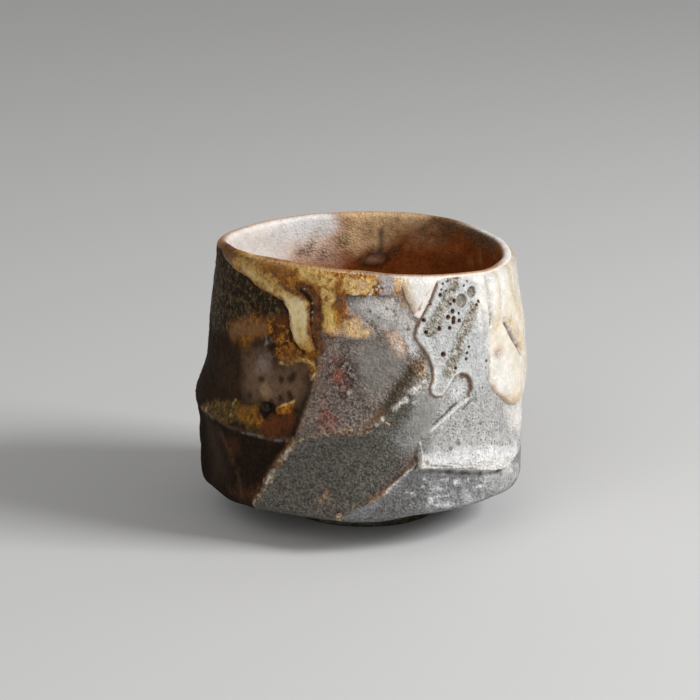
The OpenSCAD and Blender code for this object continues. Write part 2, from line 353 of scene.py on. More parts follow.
class Fired(Enum):
    """The firing effects seen on the cup; a few of their colours also serve as painted shade and painted
    highlights.
    """

    TOAST = Tint((0.2, 0.13, 0.085), (0.15, 0.096, 0.062), 0.36, 0.65, 0.9)
    SMOKE = Tint((0.03, 0.0148, 0.0066), (0.02, 0.01, 0.0048), 0.4, 0.8, 0.15)
    SOOT_AND_SHADE = Tint((0.015, 0.008, 0.0042), (0.026, 0.013, 0.006), 0.3, 0.8, 0.15)
    CHAR = Tint((0.026, 0.0145, 0.0055), (0.13, 0.086, 0.034), 0.35, 0.6, 0.6, 0.0, 0.25)
    CHARCOAL = Tint((0.179, 0.165, 0.141), (0.143, 0.13, 0.109), 0.4, 0.6, 1.0)
    SLATE = Tint((0.19, 0.185, 0.176), (0.15, 0.146, 0.138), 0.35, 0.6, 0.7)
    STONE = Tint((0.302, 0.303, 0.308), (0.235, 0.236, 0.24), 0.34, 0.6, 0.6, 0.2)
    FOG = Tint((0.52, 0.485, 0.45), (0.4, 0.37, 0.34), 0.3, 0.45, 0.3, 0.1)
    ASH = Tint((0.515, 0.51, 0.497), (0.44, 0.435, 0.424), 0.36, 0.65, 0.42, 0.4)
    PALE_ASH_AND_HIGHLIGHT = Tint((0.81, 0.805, 0.8), (0.7, 0.695, 0.69), 0.28, 0.6, 0.3, 0.2)
    BARK = Tint((0.29, 0.236, 0.2), (0.197, 0.156, 0.132), 0.42, 0.55, 1.0)
    CRACKLE = Tint((0.085, 0.06, 0.05), (0.37, 0.31, 0.28), 0.32, 0.5, 1.0)
    MIST = Tint((0.258, 0.238, 0.212), (0.218, 0.2, 0.177), 0.3, 0.6, 0.25)
    OLIVE_SHADE = Tint((0.075, 0.057, 0.034), (0.122, 0.095, 0.06), 0.3, 0.7, 0.8)
    ROSE = Tint((0.38, 0.135, 0.093), (0.22, 0.09, 0.066), 0.35, 0.6, 1.0)
    PLUM = Tint((0.175, 0.1, 0.058), (0.13, 0.078, 0.048), 0.3, 0.5, 0.2)
    RUST = Tint((0.14, 0.04, 0.011), (0.09, 0.028, 0.009), 0.3, 0.5, 0.3)
    RED_BROWN = Tint((0.13, 0.045, 0.013), (0.24, 0.105, 0.03), 0.4, 0.4, 0.5)
    GINGER = Tint((0.28, 0.095, 0.008), (0.54, 0.235, 0.028), 0.4, 0.3, 0.5)
    AMBER = Tint((0.52, 0.216, 0.021), (0.25, 0.073, 0.005), 0.44, 0.25, 0.5)
    HONEY = Tint((0.82, 0.54, 0.195), (0.5, 0.23, 0.036), 0.32, 0.25, 0.4)
    STRAW = Tint((0.66, 0.44, 0.13), (0.48, 0.27, 0.055), 0.3, 0.22, 0.2)
    BUTTER = Tint((0.86, 0.69, 0.38), (0.76, 0.55, 0.25), 0.25, 0.2, 0.1)
    OLIVE = Tint((0.075, 0.042, 0.01), (0.19, 0.105, 0.018), 0.42, 0.3, 0.6)
    BURR = Tint((0.52, 0.42, 0.29), (0.22, 0.12, 0.055), 0.46, 0.8, 1.0)
    CHALK = Tint((0.78, 0.74, 0.68), (0.5, 0.45, 0.4), 0.25, 0.7, 0.6)
    CREAM = Tint((0.82, 0.755, 0.63), (0.8, 0.69, 0.52), 0.3, 0.22, 0.05)
    MILK = Tint((0.88, 0.855, 0.8), (0.82, 0.77, 0.7), 0.3, 0.25, 0.1)
    PEACH = Tint((0.78, 0.53, 0.28), (0.58, 0.33, 0.13), 0.3, 0.3, 0.3)
    SHEET = Tint((0.575, 0.58, 0.57), (0.48, 0.48, 0.47), 0.35, 0.45, 0.3, 0.15)
    CRUST = Tint((0.56, 0.52, 0.44), (0.24, 0.195, 0.14), 0.45, 0.85, 1.0)
    COCOA = Tint((0.14, 0.075, 0.035), (0.09, 0.05, 0.025), 0.3, 0.4, 0.2)
    PIT = Tint((0.2, 0.055, 0.02), (0.13, 0.035, 0.014), 0.3, 0.5, 0.1)
    CRATER = Tint((0.3, 0.26, 0.21), (0.2, 0.165, 0.125), 0.4, 0.7, 0.6)
    DUSK = Tint((0.13, 0.056, 0.026), (0.23, 0.094, 0.03), 0.38, 0.35, 0.5)
    LILAC = Tint((0.47, 0.42, 0.41), (0.34, 0.28, 0.26), 0.35, 0.4, 0.4)
    BLUSH = Tint((0.94, 0.885, 0.83), (0.9, 0.83, 0.76), 0.24, 0.35, 0.08)
    PEARL = Tint((0.94, 0.925, 0.91), (0.82, 0.8, 0.78), 0.28, 0.35, 0.15)
    ROSE_TAN = Tint((0.84, 0.6, 0.46), (0.72, 0.5, 0.38), 0.35, 0.45, 0.12)
    TAN = Tint((0.66, 0.42, 0.22), (0.5, 0.3, 0.15), 0.35, 0.45, 0.2)
    HAZE = Tint((0.335, 0.33, 0.305), (0.3, 0.295, 0.272), 0.3, 0.55, 0.15)
    BEAD = Tint((0.01, 0.007, 0.003), (0.018, 0.012, 0.004), 0.4, 0.2, 0.0)
    BISQUE = Tint((0.9, 0.62, 0.35), (0.68, 0.44, 0.23), 0.36, 0.45, 0.2)
    GILT = Tint((0.09, 0.026, 0.004), (0.52, 0.21, 0.022), 0.44, 0.3, 0.7)
    GOLD = Tint((0.42, 0.21, 0.04), (0.22, 0.075, 0.009), 0.4, 0.28, 0.5)
    BRICK = Tint((0.32, 0.088, 0.019), (0.24, 0.066, 0.014), 0.35, 0.5, 0.2)
    BRICK_DARK = Tint((0.2, 0.05, 0.01), (0.15, 0.04, 0.009), 0.35, 0.5, 0.2)
    SEPIA = Tint((0.27, 0.14, 0.06), (0.17, 0.088, 0.038), 0.4, 0.5, 0.2)
    LIP_TAN = Tint((0.66, 0.45, 0.3), (0.54, 0.34, 0.2), 0.35, 0.4, 0.2)
    LIP_ORANGE = Tint((0.5, 0.23, 0.07), (0.36, 0.15, 0.04), 0.35, 0.35, 0.2)


@dataclass(frozen=True)
class Mark:
    """A patch, stroke or spot of one firing effect, on (direction, height) points of the wall; some marks
    are painted shade or painted highlights.
    """

    fired: Fired
    points: Run
    reach: float = 0.0
    soft: float = 0.5
    ragged: float = 0.5
    strength: float = 1.0
    broken: float = 0.0
    filled: bool = False

    def weight(self, form: CupForm, a: Floats, z: Floats, plain: Floats) -> Floats:
        """How strongly the mark shows at each point.

        Args:
            form: The cup that the mark is on.
            a: Directions in degrees.
            z: Heights in millimetres.
            plain: The points' places on the plain barrel.
        Returns:
            Values from 0 to the mark's strength.
        """
        share = np.zeros(len(a))
        middle = sum(p[0] for p in self.points) / len(self.points)
        margin = self.reach + self.soft + RAGGED_REACH * self.ragged
        wide = max(abs(p[0] - middle) for p in self.points) + margin / form.arc(1.0)
        low, high = min(p[1] for p in self.points) - margin, max(p[1] for p in self.points) + margin
        near = (np.abs(turn(a, middle)) < wide) & (z > low) & (z < high)
        if not near.any():
            return share
        measure = form.outline_mm if self.filled else form.run_mm
        depth = measure(a[near], z[near], self.points)
        depth = self.reach + (depth if self.filled else -depth)
        direction, height = self.points[0]
        seed = int(abs(direction * SEED_SPREAD[0] + height * SEED_SPREAD[1])) + 1
        edge = Lumps(seed).rough(plain[near], max(EDGE_LUMP_LEAST, EDGE_LUMP * self.ragged))
        found = self.strength * ease(-self.soft, self.soft, depth + self.ragged * edge)
        if self.broken:
            gaps = Lumps(seed + 1).rough(plain[near], GAP_LUMP)
            found = found * ease(self.broken - 1.0, self.broken - 1.0 + GAP_RAMP, gaps)
        share[near] = found
        return share


Marks = tuple[Mark, ...]


def patch(fired: Fired, *outline: Spot, **edge: float) -> Mark:
    """A mark that fills an outline."""
    return Mark(fired, outline, filled=True, **edge)


def scaled(edge: dict[str, float], reach: float) -> dict[str, float]:
    """Edge settings for a mark of this reach."""
    return {name: share * reach for name, share in edge.items()}


def stroke(fired: Fired, reach: float, *run: Spot, **edge: float) -> Mark:
    """A mark along a run, reach mm to each side."""
    return Mark(fired, run, reach, **(scaled(STROKE_EDGE, reach) | edge))


def spots(fired: Fired, reach: float, *places: Spot, **edge: float) -> Marks:
    """Round marks of one size."""
    edge = scaled(SPOT_EDGE, reach) | edge
    return tuple(Mark(fired, (place,), reach, **edge) for place in places)


def bare(fired: Fired, count: int) -> Floats:
    """The channels of one effect, a row for each point."""
    return np.tile(fired.value.channels(), (count, 1))


def lay(found: Floats, fired: Fired, share: Floats) -> Floats:
    """Lays a share of one effect over the channels found so far."""
    return found + share[:, None] * (fired.value.channels() - found)


def paint(form: CupForm, marks: Sequence[Mark], a: Floats, z: Floats, found: Floats) -> Floats:
    """Lays marks over one another.

    Args:
        form: The cup that the marks are on.
        marks: The marks, lowest first.
        a: Directions in degrees.
        z: Heights in millimetres.
        found: The channels under the marks, one row a point.
    Returns:
        The channels with the marks laid on.
    """
    plain = form.plain_place(a, z)
    for mark in marks:
        found = lay(found, mark.fired, mark.weight(form, a, z, plain))
    return found


def deselect() -> None:
    """Leaves nothing selected, so that an operator acts on the next piece alone."""
    bpy.ops.object.select_all(action="DESELECT")


@contextmanager
def editing(everything: bool = False) -> Iterator[None]:
    """Edit mode on what is selected of the active piece, or on everything."""
    bpy.ops.object.mode_set(mode="EDIT")
    if everything:
        bpy.ops.mesh.select_all(action="SELECT")
    yield
    bpy.ops.object.mode_set(mode="OBJECT")


def unselect() -> None:
    """Leaves nothing of the active piece selected."""
    bpy.ops.object.mode_set(mode="EDIT")
    bpy.ops.mesh.select_all(action="DESELECT")
    bpy.ops.object.mode_set(mode="OBJECT")


def read_places(obj: bpy.types.Object) -> Floats:
    """The piece's points, one a row."""
    found = np.empty(len(obj.data.vertices) * 3)
    obj.data.vertices.foreach_get("co", found)
    return found.reshape(-1, 3)


def write_places(obj: bpy.types.Object, places: Floats) -> None:
    """Moves the piece's points to these places, in metres."""
    obj.data.vertices.foreach_set("co", places.astype(np.float32).ravel())
    obj.data.update()


def read_values(obj: bpy.types.Object, name: str) -> Floats:
    """One named value a point."""
    found = np.empty(len(obj.data.vertices), np.float32)
    obj.data.attributes[name].data.foreach_get("value", found)
    return found.astype(float)


def write_values(obj: bpy.types.Object, name: str, values: Floats) -> None:
    """Keeps one named value a point."""
    layer = obj.data.attributes.get(name) or obj.data.attributes.new(name, "FLOAT", "POINT")
    layer.data.foreach_set("value", values.astype(np.float32))


def write_channels(obj: bpy.types.Object, channels: Floats) -> None:
    """Keeps the channels of each point for the finish to read."""
    skin = np.pad(channels[:, 8:11], ((0, 0), (0, 1)), constant_values=1.0)
    for name, values in (("fired", channels[:, 0:4]), ("fleck", channels[:, 4:8]), ("skin", skin)):
        layer = obj.data.attributes.new(name, "FLOAT_COLOR", "POINT")
        layer.data.foreach_set("color", np.clip(values, 0.0, 1.0).astype(np.float32).ravel())


def add_grid(name: str, columns: int, rows: int) -> tuple[bpy.types.Object, Floats, Floats]:
    """Adds a flat grid to shape.

    Args:
        name: The piece's name.
        columns: Cells across.
        rows: Cells up.
    Returns:
        The grid, and its points' shares of the way across and up.
    """
    deselect()
    bpy.ops.mesh.primitive_grid_add(x_subdivisions=columns, y_subdivisions=rows, size=2.0)
    obj = bpy.context.active_object
    obj.name = name
    obj.data.name = name
    places = read_places(obj)
    return obj, (places[:, 0] + 1.0) / 2.0, (places[:, 1] + 1.0) / 2.0


def close_up(merge: bool = True) -> None:
    """Turns the active piece's faces outwards, after merging the seams and poles of a wrapped grid."""
    with editing(everything=True):
        if merge:
            bpy.ops.mesh.remove_doubles(threshold=NEAR)
        bpy.ops.mesh.normals_make_consistent(inside=False)
    bpy.ops.object.shade_smooth()


def settle(obj: bpy.types.Object, node: str, finish: bpy.types.Material) -> None:
    """Puts a finished piece in place of its solid."""
    obj.data.materials.clear()
    obj.data.materials.append(finish)
    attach(obj, BODY)
    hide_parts(node)
    log.info("%s: %d faces", obj.name, len(obj.data.polygons))


@dataclass(frozen=True)
class Raised:
    """A line of clay that stands out of the wall, or a groove where its height is negative."""

    height: float
    half: float
    run: Run
    beaded: float = 0.6

    def rise(self, form: CupForm, a: Floats, z: Floats, plain: Floats) -> Floats:
        """How far it stands out at each point, in millimetres."""
        crumbs = 1.0 - self.beaded + self.beaded * Noise.CRUMBS.rough(plain)
        return self.height * crumbs * bell(form.run_mm(a, z, self.run), self.half)


@dataclass(frozen=True)
class Relief:
    """What the knife, the fingers and the fire added to the wall between the main forms."""

    form: CupForm
    lines: tuple[Raised, ...] = (
        # Left knife ridge: burr, upper crest and the groove beside it
        Raised(0.38, 0.5, ((227.6, 7.6), (235.4, 13.6), (242.1, 19), (246.5, 22.4)), 0.9),
        Raised(0.09, 0.45, ((247.6, 24.2), (251.3, 29.6), (253.4, 33.3), (254.2, 37)), 1.0),
        Raised(-0.4, 0.85, ((251.9, 34.3), (249.8, 31.5), (247.2, 27.8), (244.4, 23.6)), 0.1),
        # Middle ridge, with crumbs pushed up by the knife
        Raised(0.3, 0.5, ((246.5, 22.4), (252, 23.8), (258.5, 24.7), (265, 25.1), (272, 25.7), (276, 27.6))),
        Raised(0.5, 0.5, ((278.5, 29.1), (283.3, 31.8), (286.7, 33.7), (290, 35.4)), 0.9),
        Raised(-0.5, 1.7, ((274.5, 29.5), (279, 32.8), (285, 37), (288.5, 38.5)), 0.0),
        Raised(0.3, 0.9, ((288, 39), (290.6, 37), (289.5, 34.8), (286, 33.3)), 1.0),
        # Right ridge
        Raised(0.5, 0.42, ((266.3, 10.1), (270.6, 11), (275.2, 12.6), (280, 15.2), (286.8, 18.9)), 0.3),
        Raised(-0.2, 0.6, ((274.5, 13.6), (279.1, 16.4), (283, 18.7)), 0.2),
        # Bars left by a scrape, each with a groove beside it
        Raised(0.36, 0.36, ((292.6, 24.7), (296.9, 26.7), (301.7, 28.5), (307.6, 30.1)), 0.2),
        Raised(-0.28, 0.3, ((293.7, 25.7), (297.7, 27.6), (302.2, 29.4)), 0.1),
        Raised(-0.22, 0.25, ((304.6, 27.9), (308.1, 29.3), (310.4, 29.2)), 0.1),
        # Undercut below the lapped slab
        Raised(-0.7, 0.4,
               ((288.5, 17.1), (298.8, 16), (309.6, 14.6), (318.1, 13.5), (325.2, 12.9), (333, 13.5)), 0.1),
        # Fingered hollow and swell in the smooth grey
        Raised(-0.35, 1.5, ((281.5, 50.8), (285.5, 49.4), (286.5, 47.6)), 0.0),
        Raised(0.28, 1.3, ((268, 49.2), (274, 48.8), (279.5, 46.6), (284, 45)), 0.0),
        # Streaks dragged in the low right plane
        Raised(0.22, 0.3, ((289.7, 13.6), (293.2, 12.9), (297.2, 12.4)), 0.4),
        Raised(0.3, 0.4, ((301.2, 13.6), (302.2, 13.4)), 0.2),
    )
    craters: tuple[Spot, ...] = ((230.2, 33), (239.1, 33.7), (243.4, 34.6), (224.6, 29.4), (243.3, 31.3),
                                 (239.3, 30.2))
    soft_lumps: float = 0.14
    fine_lumps: float = 0.05
    sand_lumps: float = 0.07
    lumps_inward: float = 1.0
    sand_inward: float = 1.2
    crater_depth: float = 0.16
    crater_half: float = 0.5
    low_top: Spot = (16, 13.5)
    low_left: Spot = (277, 291)
    low_right: Spot = (356, 338)
    pimple_share: float = 0.6
    pimple_height: float = 0.42
    pimple_inward: float = 0.5
    lip_margin: float = 1.2
    lip_fade: float = 2.5

    def low_band(self, a: Floats, z: Floats) -> Floats:
        """1 on the low right plane and 0 elsewhere."""
        return ease(*self.low_top, z) * ease(*self.low_left, a) * ease(*self.low_right, a)

    def pimples(self, a: Floats, z: Floats, plain: Floats) -> Floats:
        """Small swellings of the low right plane, from about -1 to 1."""
        swellings = Noise.PIMPLES.rough(plain) + Noise.SMALL_PIMPLES.at(plain)
        return self.low_band(a, z) * self.pimple_share * swellings

    def rise(self, a: Floats, z: Floats) -> Floats:
        """How far the clay stands out of the plain facets, in millimetres."""
        plain = self.form.plain_place(a, z)
        total = self.soft_lumps * (Noise.SOFT_WALL.at(plain) - self.lumps_inward)
        total = total + self.fine_lumps * Noise.FINE_WALL.rough(plain)
        total = total + self.sand_lumps * (Noise.SANDY_WALL.rough(plain) - self.sand_inward)
        for line in self.lines:
            total = total + line.rise(self.form, a, z, plain)
        for crater in self.craters:
            total = total - self.crater_depth * bell(self.form.run_mm(a, z, (crater,)), self.crater_half)
        pimples = self.pimples(a, z, plain) - self.pimple_inward * self.low_band(a, z)
        total = total + self.pimple_height * pimples
        fade = ease(0.0, self.lip_fade, self.form.lip_z(a) - self.lip_margin - z)
        return total * fade * ease(self.form.heel_z, self.form.heel_top, z)


class Stage(Enum):
    """The stretches of the clay's section, from under the foot round to the floor, with their rings."""

    UNDER = 6
    BEND = 5
    HEEL = 9
    WALL = 134
    LIP = 13
    HOLLOW = 26
    CORNER = 7
    FLOOR = 2


PLANE_MARKS: Marks = (
    # Back of the cup: smoked on the left, ashen on the right
    patch(Fired.SMOKE, (128, -5), (200, -5), (200, 70), (136, 70), soft=7, ragged=4),
    patch(Fired.STONE, (345, -5), (402, -5), (396, 70), (345, 70), soft=7, ragged=4),
    patch(Fired.SEPIA, (72, 62), (126, 62), (118, 34), (84, 28), soft=7, ragged=4, strength=0.55),
    patch(Fired.RED_BROWN, (62, 34), (98, 38), (134, 28), (124, 12), (70, 10), soft=6, ragged=4,
          strength=0.4),
    patch(Fired.CHARCOAL, (20, 20), (62, 18), (118, 13), (132, -5), (20, -5), soft=4, ragged=3,
          strength=0.7),
    patch(Fired.MIST, (44, 60), (84, 60), (70, 46), (50, 40), soft=5, ragged=4, strength=0.45),
    stroke(Fired.BURR, 0.3, (118, 27), (96, 24), (70, 32), (45, 22), (28, 25), broken=0.8, strength=0.5),
    # Planes between the knife cuts
    patch(Fired.SMOKE, (170, 70), (260, 70), (257, 42), (251.6, 33.8), (246.5, 23.2), (235, 22), (215, 22.2),
          (200, 23), (170, 25), soft=1),
    patch(Fired.SOOT_AND_SHADE, (170, 25), (200, 23), (215, 22.2), (235, 22), (246.5, 23), (241.6, 18.2), (235, 13.4),
          (227.6, 7.6), (225, 0), (170, 0), ragged=0.3),
    patch(Fired.BARK, (257, 70), (254, 37.3), (249.8, 28.2), (246.5, 23), (258.5, 24.9), (272, 25.7),
          (280, 29.9), (291, 36), (293, 70), ragged=0.3),
    patch(Fired.CHARCOAL, (246.5, 22.6), (258.5, 24.9), (272, 25.7), (280, 29.9), (287, 33.9), (291, 31),
          (289.5, 22), (283.3, 16.7), (272.5, 11.8), (258, 7), (250, 0), (225, 0), (227.6, 7.6),
          (241.6, 18.2), soft=0.4, ragged=0.3),
    patch(Fired.STONE, (262, 8), (272.5, 11.8), (283.3, 16.9), (288.3, 18), (300, 16.5), (318, 13.8),
          (330, 14.2), (345, 16), (385, 20), (385, 0), (255, 0), soft=0.3, ragged=0.2),
    patch(Fired.ASH, (288, 21), (288, 17.5), (300, 16), (318, 13.2), (330, 13.7), (345, 16), (385, 20),
          (385, 70), (293, 70), (291, 36), (286.5, 33), soft=0.6, ragged=0.4),
    patch(Fired.STONE, (372, -5), (410, -5), (406, 70), (377, 70), soft=7, ragged=4),
    patch(Fired.TOAST, (392, -5), (420, -5), (420, 70), (398, 70), soft=7, ragged=4),
)

LEFT_MARKS: Marks = (
    # Charred top, with streaks
    patch(Fired.CHAR, (166, 47), (188, 53), (204, 54), (222.5, 51.6), (235.5, 49.6), (243, 47),
          (242.5, 42.5), (236, 44.5), (227, 45.5), (219.5, 44), (207, 41), (192.5, 38), (176, 42), soft=1.4,
          ragged=1.3),
    patch(Fired.OLIVE, (231.5, 47), (237, 47.3), (237.5, 45.6), (232.3, 45.2), soft=0.8, strength=0.8,
          broken=0.4),
    # Toasted patch under it
    patch(Fired.GINGER, (209.7, 41.7), (219.1, 43.4), (227.6, 44), (233, 43.6), (231, 41.6), (224.1, 39.6),
          (217, 38.8), (211.2, 39.6), soft=2, ragged=1.5, strength=0.55),
    patch(Fired.SEPIA, (210, 42.6), (219, 44.4), (228, 45), (234, 44.6), (230, 42), (220, 40), (212, 40.2),
          soft=1.6, ragged=1.3, strength=0.95),
    patch(Fired.GILT, (214, 43.2), (222, 44.6), (231, 45), (228, 43), (219, 42.2), soft=1.3, ragged=1.4,
          strength=0.4),
    # Rusty crackle beside the first drip
    patch(Fired.GILT, (231.5, 45), (240.4, 46), (242, 43), (247.1, 40.6), (254.2, 41), (254.8, 38.3),
          (252, 35.4), (248.5, 37.8), (242, 36.9), (237, 37.6), (235.2, 41), soft=0.6, ragged=0.7),
    patch(Fired.AMBER, (238.5, 40.2), (243, 40.8), (247.1, 40.2), (254.2, 40.4), (253.8, 38.4),
          (247.5, 38.4), (241.5, 38), soft=0.6, ragged=0.6, strength=0.45, broken=0.5),
    patch(Fired.RUST, (232.8, 44.8), (239.8, 45.6), (241, 43.4), (236.2, 41.8), soft=0.9, ragged=1,
          broken=0.5, strength=0.7),
    *spots(Fired.RED_BROWN, 0.7, (240.5, 42.3), (244.5, 39.5), (247.5, 39.2), (239.5, 39.2), strength=0.9),
    *spots(Fired.SMOKE, 0.9, (243.5, 42.6), (245, 41.6), strength=0.8),
    stroke(Fired.HONEY, 0.3, (238.2, 37.2), (242, 37), (245.6, 38.3), (249.5, 38.5), (252.9, 38),
           (254.1, 36.7), (252.2, 35.2), broken=0.35),
    stroke(Fired.AMBER, 0.5, (238.5, 38), (243, 37.8), (247, 39), broken=0.5),
    stroke(Fired.DUSK, 0.9, (243.7, 52.4), (247.1, 52.4), (250.4, 51.8), (252.5, 50.4), (252.3, 47.4),
           (252.5, 44.5), (254.2, 42.3), (255.7, 41.2), soft=0.4),
    *spots(Fired.CHALK, 0.22, (250.8, 49.4), (250.8, 47.7), (250.9, 46.5), (247.1, 51.8), strength=0.6),
    *spots(Fired.LILAC, 0.6, (230.4, 41.6), (231.6, 40.4), (233, 41), (234.5, 38.2), soft=0.5, broken=0.7,
           strength=0.4),
    # Plum facet with burst bubbles
    patch(Fired.PLUM, (220.5, 36.5), (231, 38.5), (238.5, 36.4), (245.5, 37.6), (249.6, 37.4), (250.6, 33.5),
          (248, 29.5), (245, 29.5), (238, 28.6), (229, 28.4), (222.5, 29), soft=2.8, ragged=1),
    patch(Fired.PLUM, (202, 34), (212, 36), (222, 37), (223, 28.5), (212, 27.5), (203, 28), soft=3,
          ragged=1.2, strength=0.1),
    patch(Fired.LILAC, (228, 38.4), (234, 37.8), (233, 34.5), (227.5, 34.5), soft=1.4, strength=0.22),
    *spots(Fired.PEACH, 1.1, (231.5, 31.5), (233, 30.6), soft=1.2, strength=0.2),
    *spots(Fired.SOOT_AND_SHADE, 0.72, (230.2, 33), (239.1, 33.7), (243, 34.3), (244.6, 35.2), (224.6, 29.4), soft=0.6,
           strength=0.85),
    *spots(Fired.SOOT_AND_SHADE, 0.6, (243, 31.5), (244, 30.8), (239.3, 30.2), (235.1, 29.1), soft=0.5, strength=0.75),
    # Olive and amber run-off in the fold
    patch(Fired.OLIVE, (188, 22), (207.2, 26.4), (219.8, 27.5), (230.5, 28), (230.6, 25.1), (224.5, 23.6),
          (214.8, 23), (197.2, 21.8), soft=0.6, ragged=0.6),
    patch(Fired.AMBER, (217.5, 25.8), (229.5, 27.4), (230.1, 25), (224.5, 23.8), (219.9, 24.3), soft=0.7,
          strength=0.55, broken=0.35),
    *spots(Fired.STRAW, 0.4, (216.6, 27.4), (215.5, 26.6), (215.5, 24.3), (216.5, 24), (198, 23.2),
           broken=0.3, strength=0.7),
    patch(Fired.RUST, (229.5, 26), (237.9, 27.2), (244.5, 28.3), (245, 26.2), (241.6, 22.9), (235.3, 22.1),
          (228.6, 22.8), soft=1.3, ragged=1),
    patch(Fired.AMBER, (237.9, 28.2), (242.8, 29.2), (245.2, 29.9), (245.3, 28.6), (241.3, 27.5),
          (237.9, 27), soft=0.3, ragged=0.3, broken=0.15),
    stroke(Fired.HONEY, 0.2, (238.5, 28.4), (242, 29.3), (245.4, 30.2), broken=0.3),
    *spots(Fired.GINGER, 0.7, (228.6, 25.2), (230.4, 24.4), (232, 25.6), (227, 24.2), broken=0.3,
           strength=0.7),
    *spots(Fired.OLIVE, 0.7, (228, 23.4), (231, 23), (226, 23.2), soft=0.7, strength=0.7),
    *spots(Fired.SOOT_AND_SHADE, 1.45, (232.6, 27.4), soft=0.35),
    *spots(Fired.SOOT_AND_SHADE, 0.95, (236, 27.8), soft=0.35),
    # Lower left
    stroke(Fired.LILAC, 0.2, (222, 21.8), (230, 22.2), (238.3, 22), (244, 22.4), strength=0.3, broken=0.85),
    patch(Fired.RUST, (210.5, 18.9), (218.7, 20), (219.8, 17.3), (213.3, 15.6), soft=1.6, strength=0.35),
    patch(Fired.RED_BROWN, (209.2, 8), (225.1, 10.6), (231.5, 12), (230.5, 9.4), (219, 7), soft=1.4,
          strength=0.35),
    stroke(Fired.SEPIA, 0.6, (207.3, 19.7), (211.9, 16.7), (217.1, 12.2), (219.5, 9), soft=1.2, ragged=0.7,
           strength=0.25, broken=0.3),
    patch(Fired.PLUM, (190, 20), (206, 19), (210, 10), (196, 8), soft=3, ragged=1.5, strength=0.16),
    # Shade in the groove left of the ridge
    stroke(Fired.SOOT_AND_SHADE, 0.5, (252.4, 34.6), (250.4, 31.5), (248, 27.8), (245.6, 23.6), soft=0.6,
           strength=0.75),
)

